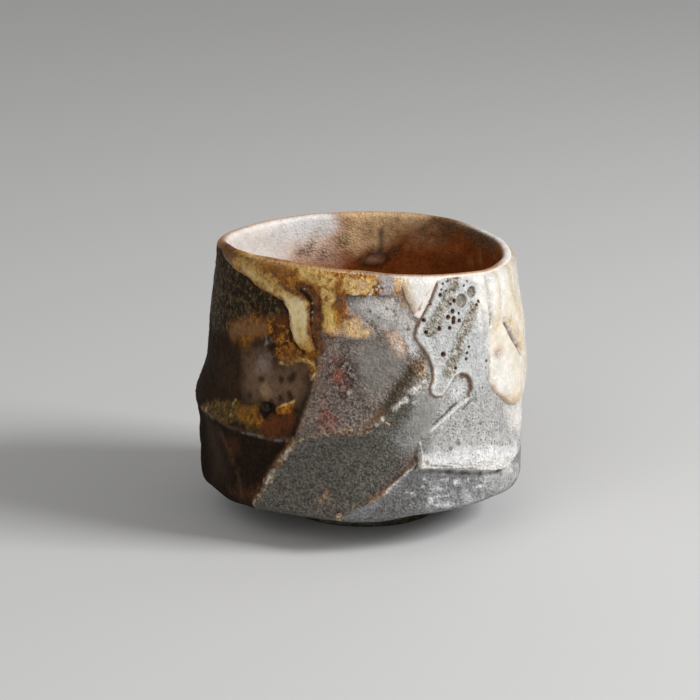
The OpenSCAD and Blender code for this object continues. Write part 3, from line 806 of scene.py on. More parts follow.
FRONT_MARKS: Marks = (
    # Left ridge: crest and burr
    stroke(Fired.SEPIA, 0.4, (254, 35), (253, 32.6), (251.2, 29.4), (249.2, 26.6), (247.6, 24.2), ragged=0.5,
           broken=0.6, strength=0.6),
    stroke(Fired.BURR, 0.22, (253.6, 34), (251.8, 30.4), (250, 27.8), (248, 24.6), ragged=0.5, broken=0.85,
           strength=0.7),
    stroke(Fired.RED_BROWN, 0.7, (228.2, 8.6), (234.6, 13.7), (241.2, 19.3), (246, 22.6), strength=0.75,
           broken=0.35),
    stroke(Fired.GOLD, 0.36, (235, 14.3), (239, 17.6), (242.5, 20.4), (246, 22.9), broken=0.75,
           strength=0.65),
    stroke(Fired.BURR, 0.6, (233.4, 12), (238.7, 16.2), (242.1, 19), (246.6, 22.4), broken=0.3, ragged=0.5),
    stroke(Fired.CHALK, 0.2, (234.4, 12.8), (239, 16.5), (242.3, 19.2), (245.6, 21.8), ragged=0.4,
           broken=0.8, strength=0.7),
    *spots(Fired.CHALK, 0.4, (262.6, 25.4), (264, 25.9), (266.4, 25.3), broken=0.3, strength=0.8),
    stroke(Fired.BURR, 0.35, (227.6, 7.6), (229.9, 9.1), (232.2, 10.6), broken=0.55),
    # Upper middle: rose, dark crackle and grey
    patch(Fired.MIST, (268, 43), (276, 43.5), (285, 41), (286, 39.5), (281, 36), (276, 32), (270, 32),
          (267, 37), soft=2, ragged=1),
    patch(Fired.CRACKLE, (257.5, 39.8), (263.5, 40.6), (267.9, 38.9), (268.6, 35.4), (265.3, 31.9),
          (260.2, 31.3), (257, 34.1), soft=1.4, ragged=0.9),
    *spots(Fired.ROSE, 1.3, (261.2, 35.9), soft=0.7, strength=0.85),
    *spots(Fired.ROSE, 1.1, (260.2, 39.2), (263.2, 33.4), (257.4, 28.7), (259, 27), (255.8, 31), soft=1,
           strength=0.42),
    patch(Fired.ROSE, (253, 28.5), (258.5, 29.6), (262, 27.5), (260, 25.4), (254, 24.8), soft=1.2,
          ragged=0.8, strength=0.5, broken=0.3),
    *spots(Fired.PLUM, 1.2, (256, 37.5), (255.5, 34), (258, 42), soft=0.9, strength=0.5),
    # Smooth grey under the wedge, with pores
    patch(Fired.FOG, (264.8, 50.3), (272.7, 51.2), (280.6, 51), (286.8, 48.6), (288, 45.8), (286.5, 43.4),
          (280.3, 44.3), (275.3, 45.2), (270.6, 47), (266, 48.2), soft=0.7, ragged=0.4),
    # Painted shade in the fingered hollow
    patch(Fired.SLATE, (281.3, 50.9), (286.3, 49.8), (287.4, 47.4), (285.3, 47.9), (283, 49.4), soft=0.9,
          strength=0.55),
    patch(Fired.PALE_ASH_AND_HIGHLIGHT, (272, 49.6), (277, 49), (281, 46.8), (279.5, 46), (274.5, 47.6), soft=1.2,
          strength=0.35),
    *spots(Fired.SLATE, 0.28, (272, 48.6), (275.3, 47.4), (281.1, 47.8), (280.5, 48.5), (285.4, 45),
           (277.8, 49)),
    patch(Fired.SEPIA, (276.8, 45), (280.6, 45.2), (281.4, 43.4), (278.6, 42.6), soft=1, ragged=0.6,
          strength=0.35),
    patch(Fired.ROSE_TAN, (278.4, 44), (281.6, 44.6), (283.8, 42.8), (284.8, 40.4), (281.8, 39.6),
          (279.6, 41.2), soft=1.1, ragged=0.8, strength=0.75),
    *spots(Fired.CHALK, 0.36, (281.6, 41.4), (282.8, 40.7), (281, 42.4), broken=0.4, strength=0.7),
    stroke(Fired.PALE_ASH_AND_HIGHLIGHT, 0.5, (282.7, 44.8), (286, 42.4), (287.8, 39.6), soft=0.9, strength=0.65),
    patch(Fired.PALE_ASH_AND_HIGHLIGHT, (284.3, 43.4), (288.4, 43.2), (289.4, 41), (286, 40.4), soft=0.9, strength=0.7),
    # Shade in the hollow over the middle ridge
    patch(Fired.OLIVE_SHADE, (287, 39), (288, 36.7), (284.3, 34.1), (280.3, 31.5), (276.4, 28.4),
          (273.4, 28), (276.1, 31.2), (280.4, 34.3), (283.7, 37.3), soft=0.9),
    patch(Fired.SEPIA, (272, 28.5), (276.3, 30), (277.5, 28.6), (272.5, 26.2), (268, 25.6), soft=0.7,
          strength=0.5, broken=0.35),
    # Crumbs along the middle ridge
    patch(Fired.BURR, (287.5, 39.5), (290.9, 39), (291.4, 36), (289.7, 34.2), (286.3, 32.7), (284.6, 33.3),
          (287.7, 35.4), (286.6, 37.4), ragged=0.8, broken=0.7, strength=0.8),
    stroke(Fired.CHALK, 0.42, (279.6, 29.9), (283.3, 31.9), broken=0.25),
    stroke(Fired.CHALK, 0.5, (285.2, 33), (287.3, 33.9), (289.4, 34.9), broken=0.15),
    stroke(Fired.BURR, 0.28, (247, 22.6), (252, 23.9), (258.5, 24.8), (263, 25.1), broken=0.5, ragged=0.35),
    stroke(Fired.BURR, 0.26, (265.5, 25.1), (268.9, 24.9), (272, 25.8), (274, 26.8), (276.5, 28.1),
           broken=0.55, ragged=0.35),
    *spots(Fired.CHALK, 0.38, (274, 26.9), (275.8, 28), (286.1, 30.8), (288.8, 30.1), (264.9, 32.8),
           (283.6, 31.4)),
    *spots(Fired.AMBER, 0.4, (262.6, 25.4), (263, 26), strength=0.6, broken=0.3),
    stroke(Fired.RED_BROWN, 0.3, (263.5, 24.4), (268.5, 24.2), strength=0.5, broken=0.4),
    # Lower middle plane
    patch(Fired.SLATE, (280, 28.5), (291, 31.5), (291.5, 23), (288, 19.6), (281, 21), (277.5, 25.5),
          soft=1.8, ragged=0.9),
    patch(Fired.HAZE, (283, 28), (290.5, 29), (289.5, 22.5), (284.3, 20.6), (281.5, 23.6), soft=2,
          strength=0.6),
    *spots(Fired.OLIVE_SHADE, 1.3, (280.5, 27.3), (283, 29), soft=1, strength=0.6),
    patch(Fired.BARK, (281, 19.5), (286, 21.5), (287.7, 19.8), (283, 17.3), soft=0.9, strength=0.6),
    *spots(Fired.RED_BROWN, 0.5, (240.8, 12.8), (256.2, 20.8), (257.6, 13.2), strength=0.6),
    *spots(Fired.TAN, 0.5, (256, 11.4), (257, 12.3), (254.6, 10.8), broken=0.3, strength=0.8),
    patch(Fired.BARK, (252, 14), (258, 13.6), (264, 10), (262, 7), (252, 8), soft=1.6, strength=0.5),
    # Right ridge
    stroke(Fired.RED_BROWN, 0.3, (270, 11.4), (275.2, 13.2), (279.1, 15.4), (283, 17.8), (286, 19.7),
           soft=0.35, strength=0.7, broken=0.45),
    stroke(Fired.BURR, 0.3, (266.3, 10.1), (270.6, 11), (275.2, 12.6), (280, 15.1), broken=0.45, ragged=0.3),
    stroke(Fired.CHALK, 0.22, (276.5, 13.1), (280, 15), (283.3, 16.9), (287, 18.8), broken=0.45,
           ragged=0.25),
    *spots(Fired.AMBER, 0.35, (276.3, 13.4), (274.8, 12.7), strength=0.8),
)

RIGHT_MARKS: Marks = (
    # Low right plane
    patch(Fired.SLATE, (274, 11.5), (280, 13.5), (285, 16), (289, 16), (291, 11), (284, 8), (272, 8),
          soft=1.2, ragged=0.8, strength=0.85),
    # Painted highlights: pale streaks and specks on the dragged streaks and lumps of the low right plane
    stroke(Fired.PALE_ASH_AND_HIGHLIGHT, 0.3, (289.7, 13.6), (293.2, 12.9), (297.2, 12.4), broken=0.4, strength=0.75),
    *spots(Fired.CHALK, 0.3, (301.6, 13.6), (302.2, 13.2), ragged=0.25),
    stroke(Fired.PALE_ASH_AND_HIGHLIGHT, 0.22, (289, 15.6), (293, 14.6), (299, 14.4), (306, 13.4), (316, 12.8),
           broken=0.75),
    stroke(Fired.PALE_ASH_AND_HIGHLIGHT, 0.2, (284, 13), (290, 11.6), (298, 11), (308, 11.2), (318, 11.4), broken=0.8),
    *spots(Fired.CHALK, 0.18, (303.6, 14.4), (312.6, 13), (318.1, 12.8), (305.7, 11.4), (309, 12.6),
           (293, 10.9)),
    patch(Fired.PALE_ASH_AND_HIGHLIGHT, (290.8, 11.4), (295.4, 10.2), (302.4, 9.2), (301, 8.4), (294.8, 8.9), strength=0.8,
          broken=0.25),
    stroke(Fired.ASH, 0.5, (302, 8.8), (310, 8.6), (318, 8.8), strength=0.7, broken=0.35),
    patch(Fired.ASH, (315, 13), (329.5, 12.4), (345, 12), (345, 7), (325.5, 8), (316, 10.5), soft=1.6,
          strength=0.7),
    patch(Fired.PALE_ASH_AND_HIGHLIGHT, (327, 13.2), (336, 13.6), (337, 11), (328, 11.2), soft=0.6, strength=0.55),
    # Painted shade along the heel, where the wall turns under the cup
    stroke(Fired.CHARCOAL, 1.0, (258, 6.2), (285, 6), (315, 6.2), (345, 7), soft=0.8, strength=0.85),
    # Painted shadow in the undercut below the slab
    stroke(Fired.SOOT_AND_SHADE, 0.3, (288.5, 17.1), (298.8, 16), (309.6, 14.6), (318.1, 13.5), (325.2, 12.9),
           (331, 13.2)),
    # Lapped slab: pale band, torn edge and raised left edge
    patch(Fired.HAZE, (287, 32), (294, 31.6), (296, 26), (293, 22.8), (287, 22.6), soft=2.2, ragged=0.9,
          strength=0.9),
    patch(Fired.PALE_ASH_AND_HIGHLIGHT, (289.7, 20), (300.7, 20.4), (315.8, 19.4), (333.6, 17.4), (340, 15), (331.1, 13.6),
          (324.5, 13.2), (311.2, 14.8), (295.3, 16.6), (288.6, 17), soft=1.3, ragged=0.7),
    patch(Fired.CHALK, (300, 18.2), (315, 17.4), (328, 15.6), (330, 14.3), (318, 14.4), (304, 16.4), soft=1,
          strength=0.5),
    stroke(Fired.SLATE, 0.16, (291.4, 18.3), (298.9, 17.3), (308.9, 15.9), strength=0.8, broken=0.3),
    # Pale left edge of the slab, partly its own colour and partly a painted highlight on the rounded rim
    patch(Fired.CHALK, (288.6, 23), (288.8, 20.5), (290.2, 18), (287, 17.2), (287.5, 20.3), soft=0.25,
          ragged=0.15),
    stroke(Fired.CHALK, 0.24, (288.6, 18), (298.8, 17), (309.6, 15.6), (318.1, 14.4), (324.5, 13.9),
           (331, 14.2), broken=0.2),
    stroke(Fired.SEPIA, 0.3, (289.8, 19), (291.2, 18.5), strength=0.6, broken=0.2),
    stroke(Fired.LILAC, 0.3, (329.5, 14.4), (336, 15), (341, 16.4), strength=0.8),
    # Scraped bars
    stroke(Fired.OLIVE_SHADE, 0.28, (293.5, 25.7), (297.7, 27.6), (302.2, 29.5), strength=0.9),
    stroke(Fired.PALE_ASH_AND_HIGHLIGHT, 0.36, (292.6, 24.7), (296.9, 26.6), (301.7, 28.4), (307.6, 30.1)),
    stroke(Fired.SLATE, 0.22, (304.8, 27.9), (308.1, 29.3), (310.4, 29.2), strength=0.8),
    *spots(Fired.CHALK, 0.3, (298.8, 24.6), (304.5, 25.9), (312.2, 29.1), (296.3, 25), (292.8, 23.4)),
    *spots(Fired.SLATE, 0.35, (307, 25.5), (303, 21.5), (299.5, 20.9), (313, 24.5), strength=0.8),
    # Between the wedge and the sheet
    patch(Fired.BLUSH, (287.6, 47.6), (291.6, 51), (297, 56), (299, 54), (295, 50.2), (290.6, 46.4),
          soft=0.4),
    # Bay in the sheet's lower edge, with painted shadow cast by the sheet's raised rim
    stroke(Fired.COCOA, 0.42, (304.5, 34.8), (306.6, 34.4), (307.8, 33.3), (308, 32), (307.3, 30.6),
           strength=0.9),
    patch(Fired.PALE_ASH_AND_HIGHLIGHT, (299, 32.4), (302, 34), (305, 33.4), (306, 31.5), (302, 30.6), soft=0.8,
          strength=0.5),
    # Beside the cream run
    patch(Fired.BLUSH, (329, 25.2), (342, 25), (352, 27), (350, 20), (340, 18.8), (333, 20.5), soft=1.8,
          ragged=0.9, strength=0.6),
    patch(Fired.LILAC, (317, 30.5), (322, 27.5), (327, 25.5), (324, 24.5), (316, 28), soft=1.2,
          strength=0.4),
    patch(Fired.TAN, (280.4, 51.4), (283.4, 53), (285.4, 51), (286.8, 48.8), (285, 49.2), (282.4, 50.4),
          soft=0.8, ragged=0.7, strength=0.65),
)

WALL_MARKS: Marks = PLANE_MARKS + LEFT_MARKS + FRONT_MARKS + RIGHT_MARKS

HOLLOW_MARKS: Marks = (
    patch(Fired.BRICK_DARK, (64, 44), (64, 51), (40, 52), (10, 53), (-40, 52), (-60, 40), (10, 30), soft=5,
          ragged=2, strength=0.8),
    patch(Fired.ROSE_TAN, (200, 60), (101, 60), (97, 49), (104, 44), (130, 40), (200, 36), soft=4,
          ragged=2.5),
    patch(Fired.ROSE_TAN, (196, 60), (240, 60), (236, 44), (196, 40), soft=8, ragged=4, strength=0.8),
    patch(Fired.BLUSH, (205, 60), (124, 60), (117, 50), (126, 46), (150, 42), (205, 42), soft=4, ragged=2.4),
    patch(Fired.PEARL, (126, 55), (113.5, 57), (103, 57), (102, 51), (114, 49.6), (124, 50.4), soft=1.8,
          ragged=1.6),
    *spots(Fired.PEARL, 1.3, (130, 52), (104, 52.6), soft=1.5),
    patch(Fired.BISQUE, (103, 60), (60, 60), (58, 54), (72, 51), (83, 49.6), (92, 47.6), (99, 49), soft=2.4,
          ragged=2),
    patch(Fired.SEPIA, (70, 60), (5, 60), (8, 52), (30, 51.4), (50, 51.6), (62, 52.4), soft=3, ragged=2.4,
          strength=0.9),
    patch(Fired.OLIVE_SHADE, (56, 55), (40, 55), (8, 54), (10, 51.6), (34, 52), (52, 52.6), soft=1.6,
          ragged=1.2, strength=0.62),
    patch(Fired.TAN, (79, 51.6), (64, 51.4), (52, 49.8), (66, 48.6), (80, 49), soft=1.8, ragged=1.2,
          strength=0.55, broken=0.2),
    *spots(Fired.SEPIA, 1.6, (95, 53), (88, 51), (76, 53.4), (68, 53), soft=1.6, strength=0.3),
    *spots(Fired.OLIVE_SHADE, 1.2, (112.5, 48), (98.5, 48.8), (107, 46.6), (117, 47), soft=1.1,
           strength=0.6),
    *spots(Fired.OLIVE_SHADE, 1.2, (64, 52), (56, 51), (76, 47.6), (46, 48.4), soft=1.2, strength=0.45),
    *spots(Fired.LIP_ORANGE, 1.1, (60, 49), (52, 48), (44, 49.4), (36, 47.4), (28, 48.6), soft=1,
           strength=0.45),
    patch(Fired.ROSE_TAN, (82, 46.4), (86, 45.9), (90, 44.6), (82, 44.8), soft=0.6, strength=0.45),
    stroke(Fired.SOOT_AND_SHADE, 0.65, (82.8, 51), (82.8, 46.4), (86, 46.2), (89.5, 45.4), (92.4, 44.2), (90, 43.6),
           (85.2, 43.7), (81, 44.4), (80.5, 45.6), (82.8, 46.4), soft=0.4, ragged=0.2, strength=0.7),
    *spots(Fired.OLIVE_SHADE, 0.7, (77, 46.8), (78, 45.8), soft=0.7, strength=0.5),
    patch(Fired.BRICK, (40, 50.6), (64, 48.6), (70, 47), (56, 46.4), (42, 48.6), soft=1.6, strength=0.6),
    *spots(Fired.BRICK_DARK, 5.0, (150, 30), (236, 20), (300, 36), (30, 16), (96, 24), soft=5, ragged=3,
           strength=0.7),
)

LIP_STOPS: tuple[tuple[float, Fired], ...] = (
    (0, Fired.BLUSH), (28, Fired.BLUSH), (48, Fired.SEPIA), (70, Fired.TAN), (110, Fired.LIP_TAN),
    (160, Fired.LIP_TAN), (184, Fired.LIP_ORANGE), (196, Fired.RED_BROWN), (207, Fired.GINGER),
    (217, Fired.HONEY), (240, Fired.TAN), (262, Fired.PEACH), (276, Fired.LILAC), (286, Fired.MILK),
    (335, Fired.BLUSH), (360, Fired.BLUSH),
)


@dataclass
class ClayBody:
    """The faceted wall, the lip and the hollow, as one skin of clay."""

    form: CupForm
    relief: Relief
    columns: int = 486
    front: Spot = (186, 357)
    front_share: float = 0.84
    back: float = 90.0
    heel_lift: float = 1.0
    lift_left: Spot = (274, 290)
    lift_right: Spot = (345, 322)
    heel_drop: float = 1.5
    drop_at: float = 203.0
    drop_half: float = 17.0
    heel_fade: Spot = (11.5, 6)
    lip_fall: float = 0.12
    ring_slack: float = 0.01
    highlight_peaks: Spot = (0.2, 0.8)
    highlight_share: float = 0.45
    hollow_from: float = 0.4
    lip_start: Spot = (0, 0.15)
    lip_below: Spot = (1.6, 0.4)
    below_share: float = 0.8
    lip_end: Spot = (0.8, 0.5)
    line_start: Spot = (0.24, 0.4)
    line_end: Spot = (0.85, 0.7)
    line_left: Spot = (212, 235)
    line_right: Spot = (346, 330)
    line_share: float = 0.85

    def lifted(self, a: Floats, z: Floats) -> Floats:
        """How much higher the heel was cut at the right of the front, and lower at its left."""
        right = ease(*self.lift_left, a) * ease(*self.lift_right, a)
        left = bell(turn(a, self.drop_at), self.drop_half)
        return (self.heel_lift * right - self.heel_drop * left) * ease(*self.heel_fade, z)

    def directions(self, across: Floats) -> Floats:
        """Directions of the columns, closer together on the carved front."""
        side = (1.0 - self.front_share) / 2.0
        stops = (self.back, self.front[0], self.front[1], self.back + 360.0)
        return np.interp(across, (0.0, side, 1.0 - side, 1.0), stops)

    def section(self, stage: Stage, a: Floats, part: Floats) -> tuple[Floats, Floats]:
        """Radius and height of points on one stretch of the section.

        Args:
            stage: The stretch.
            a: Directions in degrees.
            part: Shares of the way along the stretch.
        Returns:
            Radii and heights in millimetres.
        """
        form = self.form
        half = form.lip_thickness / 2.0
        middle = form.lip_z(a) - half
        corner_z = form.floor_z + form.floor_corner
        corner_r = form.hollow(a, corner_z) - form.floor_corner
        if stage is Stage.UNDER:
            return form.foot_outer * part, form.foot_height + 0.0 * a
        if stage is Stage.BEND:
            heel_r = form.wall(a, form.heel_z + 0.0 * a)
            bend_r = form.foot_outer + (heel_r - form.foot_outer) * form.under_bend[0]
            bend_z = form.foot_height + form.heel_rise * form.under_bend[1]
            stops = np.clip(part * 2.0, 0.0, 1.0), np.clip(part * 2.0 - 1.0, 0.0, 1.0)
            r = form.foot_outer + (bend_r - form.foot_outer) * stops[0] + (heel_r - bend_r) * stops[1]
            z = form.foot_height + (bend_z - form.foot_height) * stops[0] + (form.heel_z - bend_z) * stops[1]
            return r, z + part * self.lifted(a, form.heel_z + 0.0 * a)
        if stage in (Stage.HEEL, Stage.WALL):
            heel_z = form.heel_z + form.heel_corner * (1.0 - np.cos(np.radians(90.0 * part)))
            z = heel_z if stage is Stage.HEEL else form.heel_top + (middle - form.heel_top) * part
            return form.wall(a, z) + self.relief.rise(a, z), z + self.lifted(a, z)
        if stage is Stage.LIP:
            over = np.radians(180.0 * part)
            return form.wall(a, middle) - half + half * np.cos(over), middle + half * np.sin(over)
        if stage is Stage.HOLLOW:
            z = middle + (corner_z - middle) * part
            lip_inner = form.wall(a, middle) - 2.0 * half
            drop = ease(0.0, self.lip_fall, part)
            return lip_inner + (form.hollow(a, z) - lip_inner) * drop, z
        if stage is Stage.CORNER:
            down = np.radians(90.0 * part)
            r = corner_r + form.floor_corner * np.cos(down)
            return r, form.floor_z + form.floor_corner * (1.0 - np.sin(down))
        return corner_r * (1.0 - part), form.floor_z + 0.0 * a

    def build(self) -> bpy.types.Object:
        """Wraps a grid round the cup.

        Returns:
            The closed clay skin, with its fired colours.
        """
        rings = sum(stage.value for stage in Stage)
        obj, across, up = add_grid("clay_wall_and_hollow", self.columns, rings)
        a = self.directions(across)
        ring = up * rings
        radius, height, over = np.zeros(len(a)), np.zeros(len(a)), np.zeros(len(a))
        start = 0
        for stage in Stage:
            here = (ring >= start - self.ring_slack) & (ring <= start + stage.value + self.ring_slack)
            part = np.clip((ring[here] - start) / stage.value, 0.0, 1.0)
            radius[here], height[here] = self.section(stage, a[here], part)
            if stage is Stage.LIP:
                over[here] = part
            elif stage is Stage.HOLLOW:
                over[here] = 1.0 + part
            elif stage in (Stage.CORNER, Stage.FLOOR):
                over[here] = 2.0
            start += stage.value
        write_places(obj, self.form.place(a, radius, height) * MM)
        write_channels(obj, self.colours(a, height, over))
        close_up()
        return obj

    def colours(self, a: Floats, z: Floats, over: Floats) -> Floats:
        """Fired colours of the outside, the lip and the hollow.

        Args:
            a: Directions in degrees.
            z: Heights in millimetres.
            over: How far over the lip each point is: 0 outside, 1 where the hollow starts, 2 at its floor.
        Returns:
            The channels, one row a point.
        """
        found = paint(self.form, WALL_MARKS, a, z, bare(Fired.TOAST, len(a)))
        # Painted highlight: pale colour on the tops of the low right plane's pimples
        highlight_peaks = ease(*self.highlight_peaks, self.relief.pimples(a, z, self.form.plain_place(a, z))) * (over <= 0.0)
        found = lay(found, Fired.PALE_ASH_AND_HIGHLIGHT, self.highlight_share * highlight_peaks)
        inside = over > self.hollow_from
        brick = bare(Fired.BRICK, int(inside.sum()))
        found[inside] = paint(self.form, HOLLOW_MARKS, a[inside], z[inside], brick)
        stops = [direction for direction, _ in LIP_STOPS]
        rim = np.array([fired.value.channels() for _, fired in LIP_STOPS])
        lip = np.stack([np.interp(a % 360.0, stops, channel) for channel in rim.T], axis=1)
        below = self.below_share * ease(*self.lip_below, self.form.lip_z(a) - z)
        share = np.maximum(ease(*self.lip_start, over), below) * ease(*self.lip_end, over)
        found = found + share[:, None] * (lip - found)
        line = ease(*self.line_start, over) * ease(*self.line_end, over)
        line = line * ease(*self.line_left, a) * ease(*self.line_right, a)
        return lay(found, Fired.LIP_ORANGE, self.line_share * line)


@dataclass
class FootRing:
    """The low ring that the cup stands on."""

    form: CupForm
    columns: int = 240
    rows: int = 56
    bevel: float = 0.4
    wear: float = 0.1
    worn_above: Spot = (0.1, 0.8)
    worn_below: float = 0.6
    shaded: Spot = (-0.6, 0.5)

    def build(self) -> bpy.types.Object:
        """Wraps a grid round the ring's section.

        Returns:
            The closed ring.
        """
        form = self.form
        obj, across, up = add_grid("foot_ring_turned", self.columns, self.rows)
        a = 360.0 * across
        outer, inner = form.foot_radius, form.foot_radius - form.foot_width
        flare, high, bevel = form.foot_flare, form.foot_height, self.bevel
        section = ((inner + bevel, 0.0), (outer - bevel, 0.0), (outer, bevel), (outer + flare, high),
                   (inner - flare, high), (inner, bevel), (inner + bevel, 0.0))
        lengths = [0.0] + [math.dist(p, q) for p, q in zip(section, section[1:])]
        stops = np.cumsum(lengths) / sum(lengths)
        r = np.interp(up, stops, [p[0] for p in section])
        z = np.interp(up, stops, [p[1] for p in section])
        plain = form.place(a, r, z)
        worn = ease(*self.worn_above, z) * ease(high, high - self.worn_below, z)
        worn = self.wear * Noise.FOOT_WEAR.rough(plain) * worn
        write_places(obj, form.place(a, r + worn, z) * MM)
        shade = ease(*self.shaded, Noise.FOOT_SHADE.rough(plain))
        write_channels(obj, lay(bare(Fired.SLATE, len(a)), Fired.OLIVE_SHADE, shade))
        close_up()
        return obj


@dataclass
class WallLayer:
    """A layer that lies on the wall and dips into it at its edges."""

    form: CupForm
    relief: Relief
    name: str = "layer"
    span: tuple[Spot, Spot] = ((0.0, 1.0), (0.0, 1.0))
    step: float = 0.2
    sunk: float = 0.5
    trim: float = 0.2
    fall: float = 1.5
    lip_gap: float = 0.15
    lip_fade: Spot = (1.7, 0.15)
    lip_sink: float = 0.06
    marks: Marks = ()
    base: Fired = Fired.ASH

    def coat(self, a: Floats, z: Floats, plain: Floats) -> Floats:
        """Thickness of the layer.

        Args:
            a: Directions in degrees.
            z: Heights in millimetres.
            plain: The points' places on the plain barrel.
        Returns:
            Thicknesses in millimetres, negative where there is no layer.
        """
        raise NotImplementedError

    def edge(self, depth: Floats, thick: float, round_in: float) -> Floats:
        """Thickness that rounds up from an edge.

        Args:
            depth: Distances in from the edge, negative outside.
            thick: Full thickness.
            round_in: How far in the rounding reaches.
        Returns:
            Thicknesses, below zero outside the edge.
        """
        inside = thick * np.sqrt(1.0 - (1.0 - np.clip(depth / round_in, 0.0, 1.0)) ** 2)
        return np.where(depth > 0.0, inside, self.fall * depth)

    def colours(self, a: Floats, z: Floats) -> Floats:
        """Fired colours of the layer."""
        return paint(self.form, self.marks, a, z, bare(self.base, len(a)))

    def build(self) -> bpy.types.Object:
        """Wraps a grid on the wall, cuts away what lies outside the layer and thickens the rest.

        Returns:
            The closed layer, with its fired colours.
        """
        form = self.form
        (a0, a1), (z0, z1) = self.span
        columns, rows = round(form.arc(a1 - a0) / self.step), round((z1 - z0) / self.step)
        obj, across, up = add_grid(self.name, columns, rows)
        a = a0 + (a1 - a0) * across
        z = z0 + (np.minimum(z1, form.lip_z(a) - self.lip_gap) - z0) * up
        thick = self.coat(a, z, form.plain_place(a, z))
        thins = ease(*self.lip_fade, form.lip_z(a) - z)
        thick = np.where(thick > 0.0, thick * (1.0 - thins) - self.lip_sink * thins, thick)
        for name, values in (("direction", a), ("height", z), ("coat", thick)):
            write_values(obj, name, values)
        self.cut_away(obj, thick < -self.trim)
        with editing(everything=True):
            bpy.ops.mesh.extrude_region()
        out = np.empty(len(obj.data.vertices), bool)
        obj.data.vertices.foreach_get("select", out)
        a, z, thick = (read_values(obj, name) for name in ("direction", "height", "coat"))
        ground = form.skin(a, z) + self.relief.rise(a, z)
        r = ground + np.where(out, thick, -self.sunk)
        write_places(obj, form.place(a, r, z) * MM)
        write_channels(obj, self.colours(a, z))
        close_up(merge=False)
        return obj

    def cut_away(self, obj: bpy.types.Object, outside: Floats) -> None:
        """Deletes the grid's faces whose corners all lie outside the layer."""
        corners = np.empty(len(obj.data.loops), np.int32)
        obj.data.loops.foreach_get("vertex_index", corners)
        gone = outside[corners].reshape(-1, 4).all(axis=1)
        bpy.context.tool_settings.mesh_select_mode = (False, False, True)
        unselect()
        obj.data.polygons.foreach_set("select", gone)
        with editing():
            bpy.ops.mesh.delete(type="FACE")
            bpy.context.tool_settings.mesh_select_mode = (True, False, False)


@dataclass
class LappedSlab(WallLayer):
    """The tongue of clay pushed down over the cut, with a torn lower edge."""

    name: str = "lapped_slab_torn"
    span: tuple[Spot, Spot] = ((285.5, 356.0), (12.5, 26.0))
    step: float = 0.17
    marks: Marks = WALL_MARKS
    lower: Run = ((286, 17.9), (288.3, 17.8), (298.8, 16.8), (309.6, 15.4), (318.1, 14.2), (324.5, 13.7),
                  (329.5, 14), (335.8, 14.6), (347, 17), (358, 19.5))
    left: float = 287.3
    left_lean: float = 0.09
    lean_from: float = 17.6
    torn_lower: float = 0.09
    torn_left: float = 0.06
    thins_from: float = 0.3
    right_fade: Spot = (352, 322)
    right_least: float = 0.15
    corner_up: Spot = (20.8, 23.2)
    corner_in: Spot = (6, 0)
    groove: Place = (0.2, 0.85, 0.17)
    groove_left: Spot = (290, 292)
    groove_right: Spot = (313, 309)
    left_rim: Place = (0.35, 0.35, 0.3)
    left_rim_up: Spot = (23.2, 21)
    lower_rim: Place = (0.15, 0.3, 0.3)
    round_in: float = 0.2
    sinks: float = 0.12
    sinks_from: float = 0.25
    thick: float = 1.4
    top: float = 9.0

    def coat(self, a: Floats, z: Floats, plain: Floats) -> Floats:
        """Thickest at the torn edge, thinning upwards and to the right into the wall."""
        along, heights = zip(*self.lower)
        above = z - np.interp(a, along, heights) + self.torn_lower * Noise.TORN_LOWER.rough(plain)
        beside = self.form.arc(turn(a, self.left)) + self.torn_left * Noise.TORN_LEFT.rough(plain)
        beside = beside - self.left_lean * (z - self.lean_from)
        depth = np.minimum(above, beside)
        thins = 1.0 - ease(self.thins_from, self.top, above)
        right = ease(*self.right_fade, a)
        full = self.thick * thins * (self.right_least + (1.0 - self.right_least) * right)
        full = full * (1.0 - ease(*self.corner_up, z) * ease(*self.corner_in, beside))
        groove = hump(self.groove, above) * ease(*self.groove_left, a) * ease(*self.groove_right, a)
        rim = hump(self.left_rim, beside) * ease(*self.left_rim_up, z) + hump(self.lower_rim, above) * right
        found = self.edge(depth, 1.0, self.round_in) * full + (rim - groove) * (depth > 0)
        return found - self.sinks * ease(self.sinks_from, 0.0, thins * right)


SHEET_MARKS: Marks = (
    patch(Fired.MILK, (298.5, 56), (302.5, 54.2), (308, 53.4), (313, 52.6), (319, 52), (319, 56), soft=0.7),
    stroke(Fired.MILK, 0.6, (311.8, 48.2), (313.4, 46.3), (313.3, 43.6), strength=0.85, broken=0.2),
    patch(Fired.MILK, (307.6, 51.8), (309.2, 48.8), (312.2, 48.8), (312.4, 52), soft=0.6, strength=0.45),
    patch(Fired.ASH, (306.6, 31.4), (312, 32), (318, 34.5), (317, 28), (307, 27.5), soft=1.6, ragged=0.6),
    patch(Fired.ASH, (296.6, 33.6), (300.6, 35.6), (300.6, 31), (296, 30.6), soft=1.2, strength=0.8),
    patch(Fired.MILK, (313, 57), (320, 57), (320, 30), (317.6, 34), (316.8, 40), (315.4, 46), (313, 50),
          soft=1.1, ragged=1, strength=0.85),
    *spots(Fired.LILAC, 0.7, (317.6, 40.4), (317, 37), (316.6, 44), soft=0.8, strength=0.5),
)


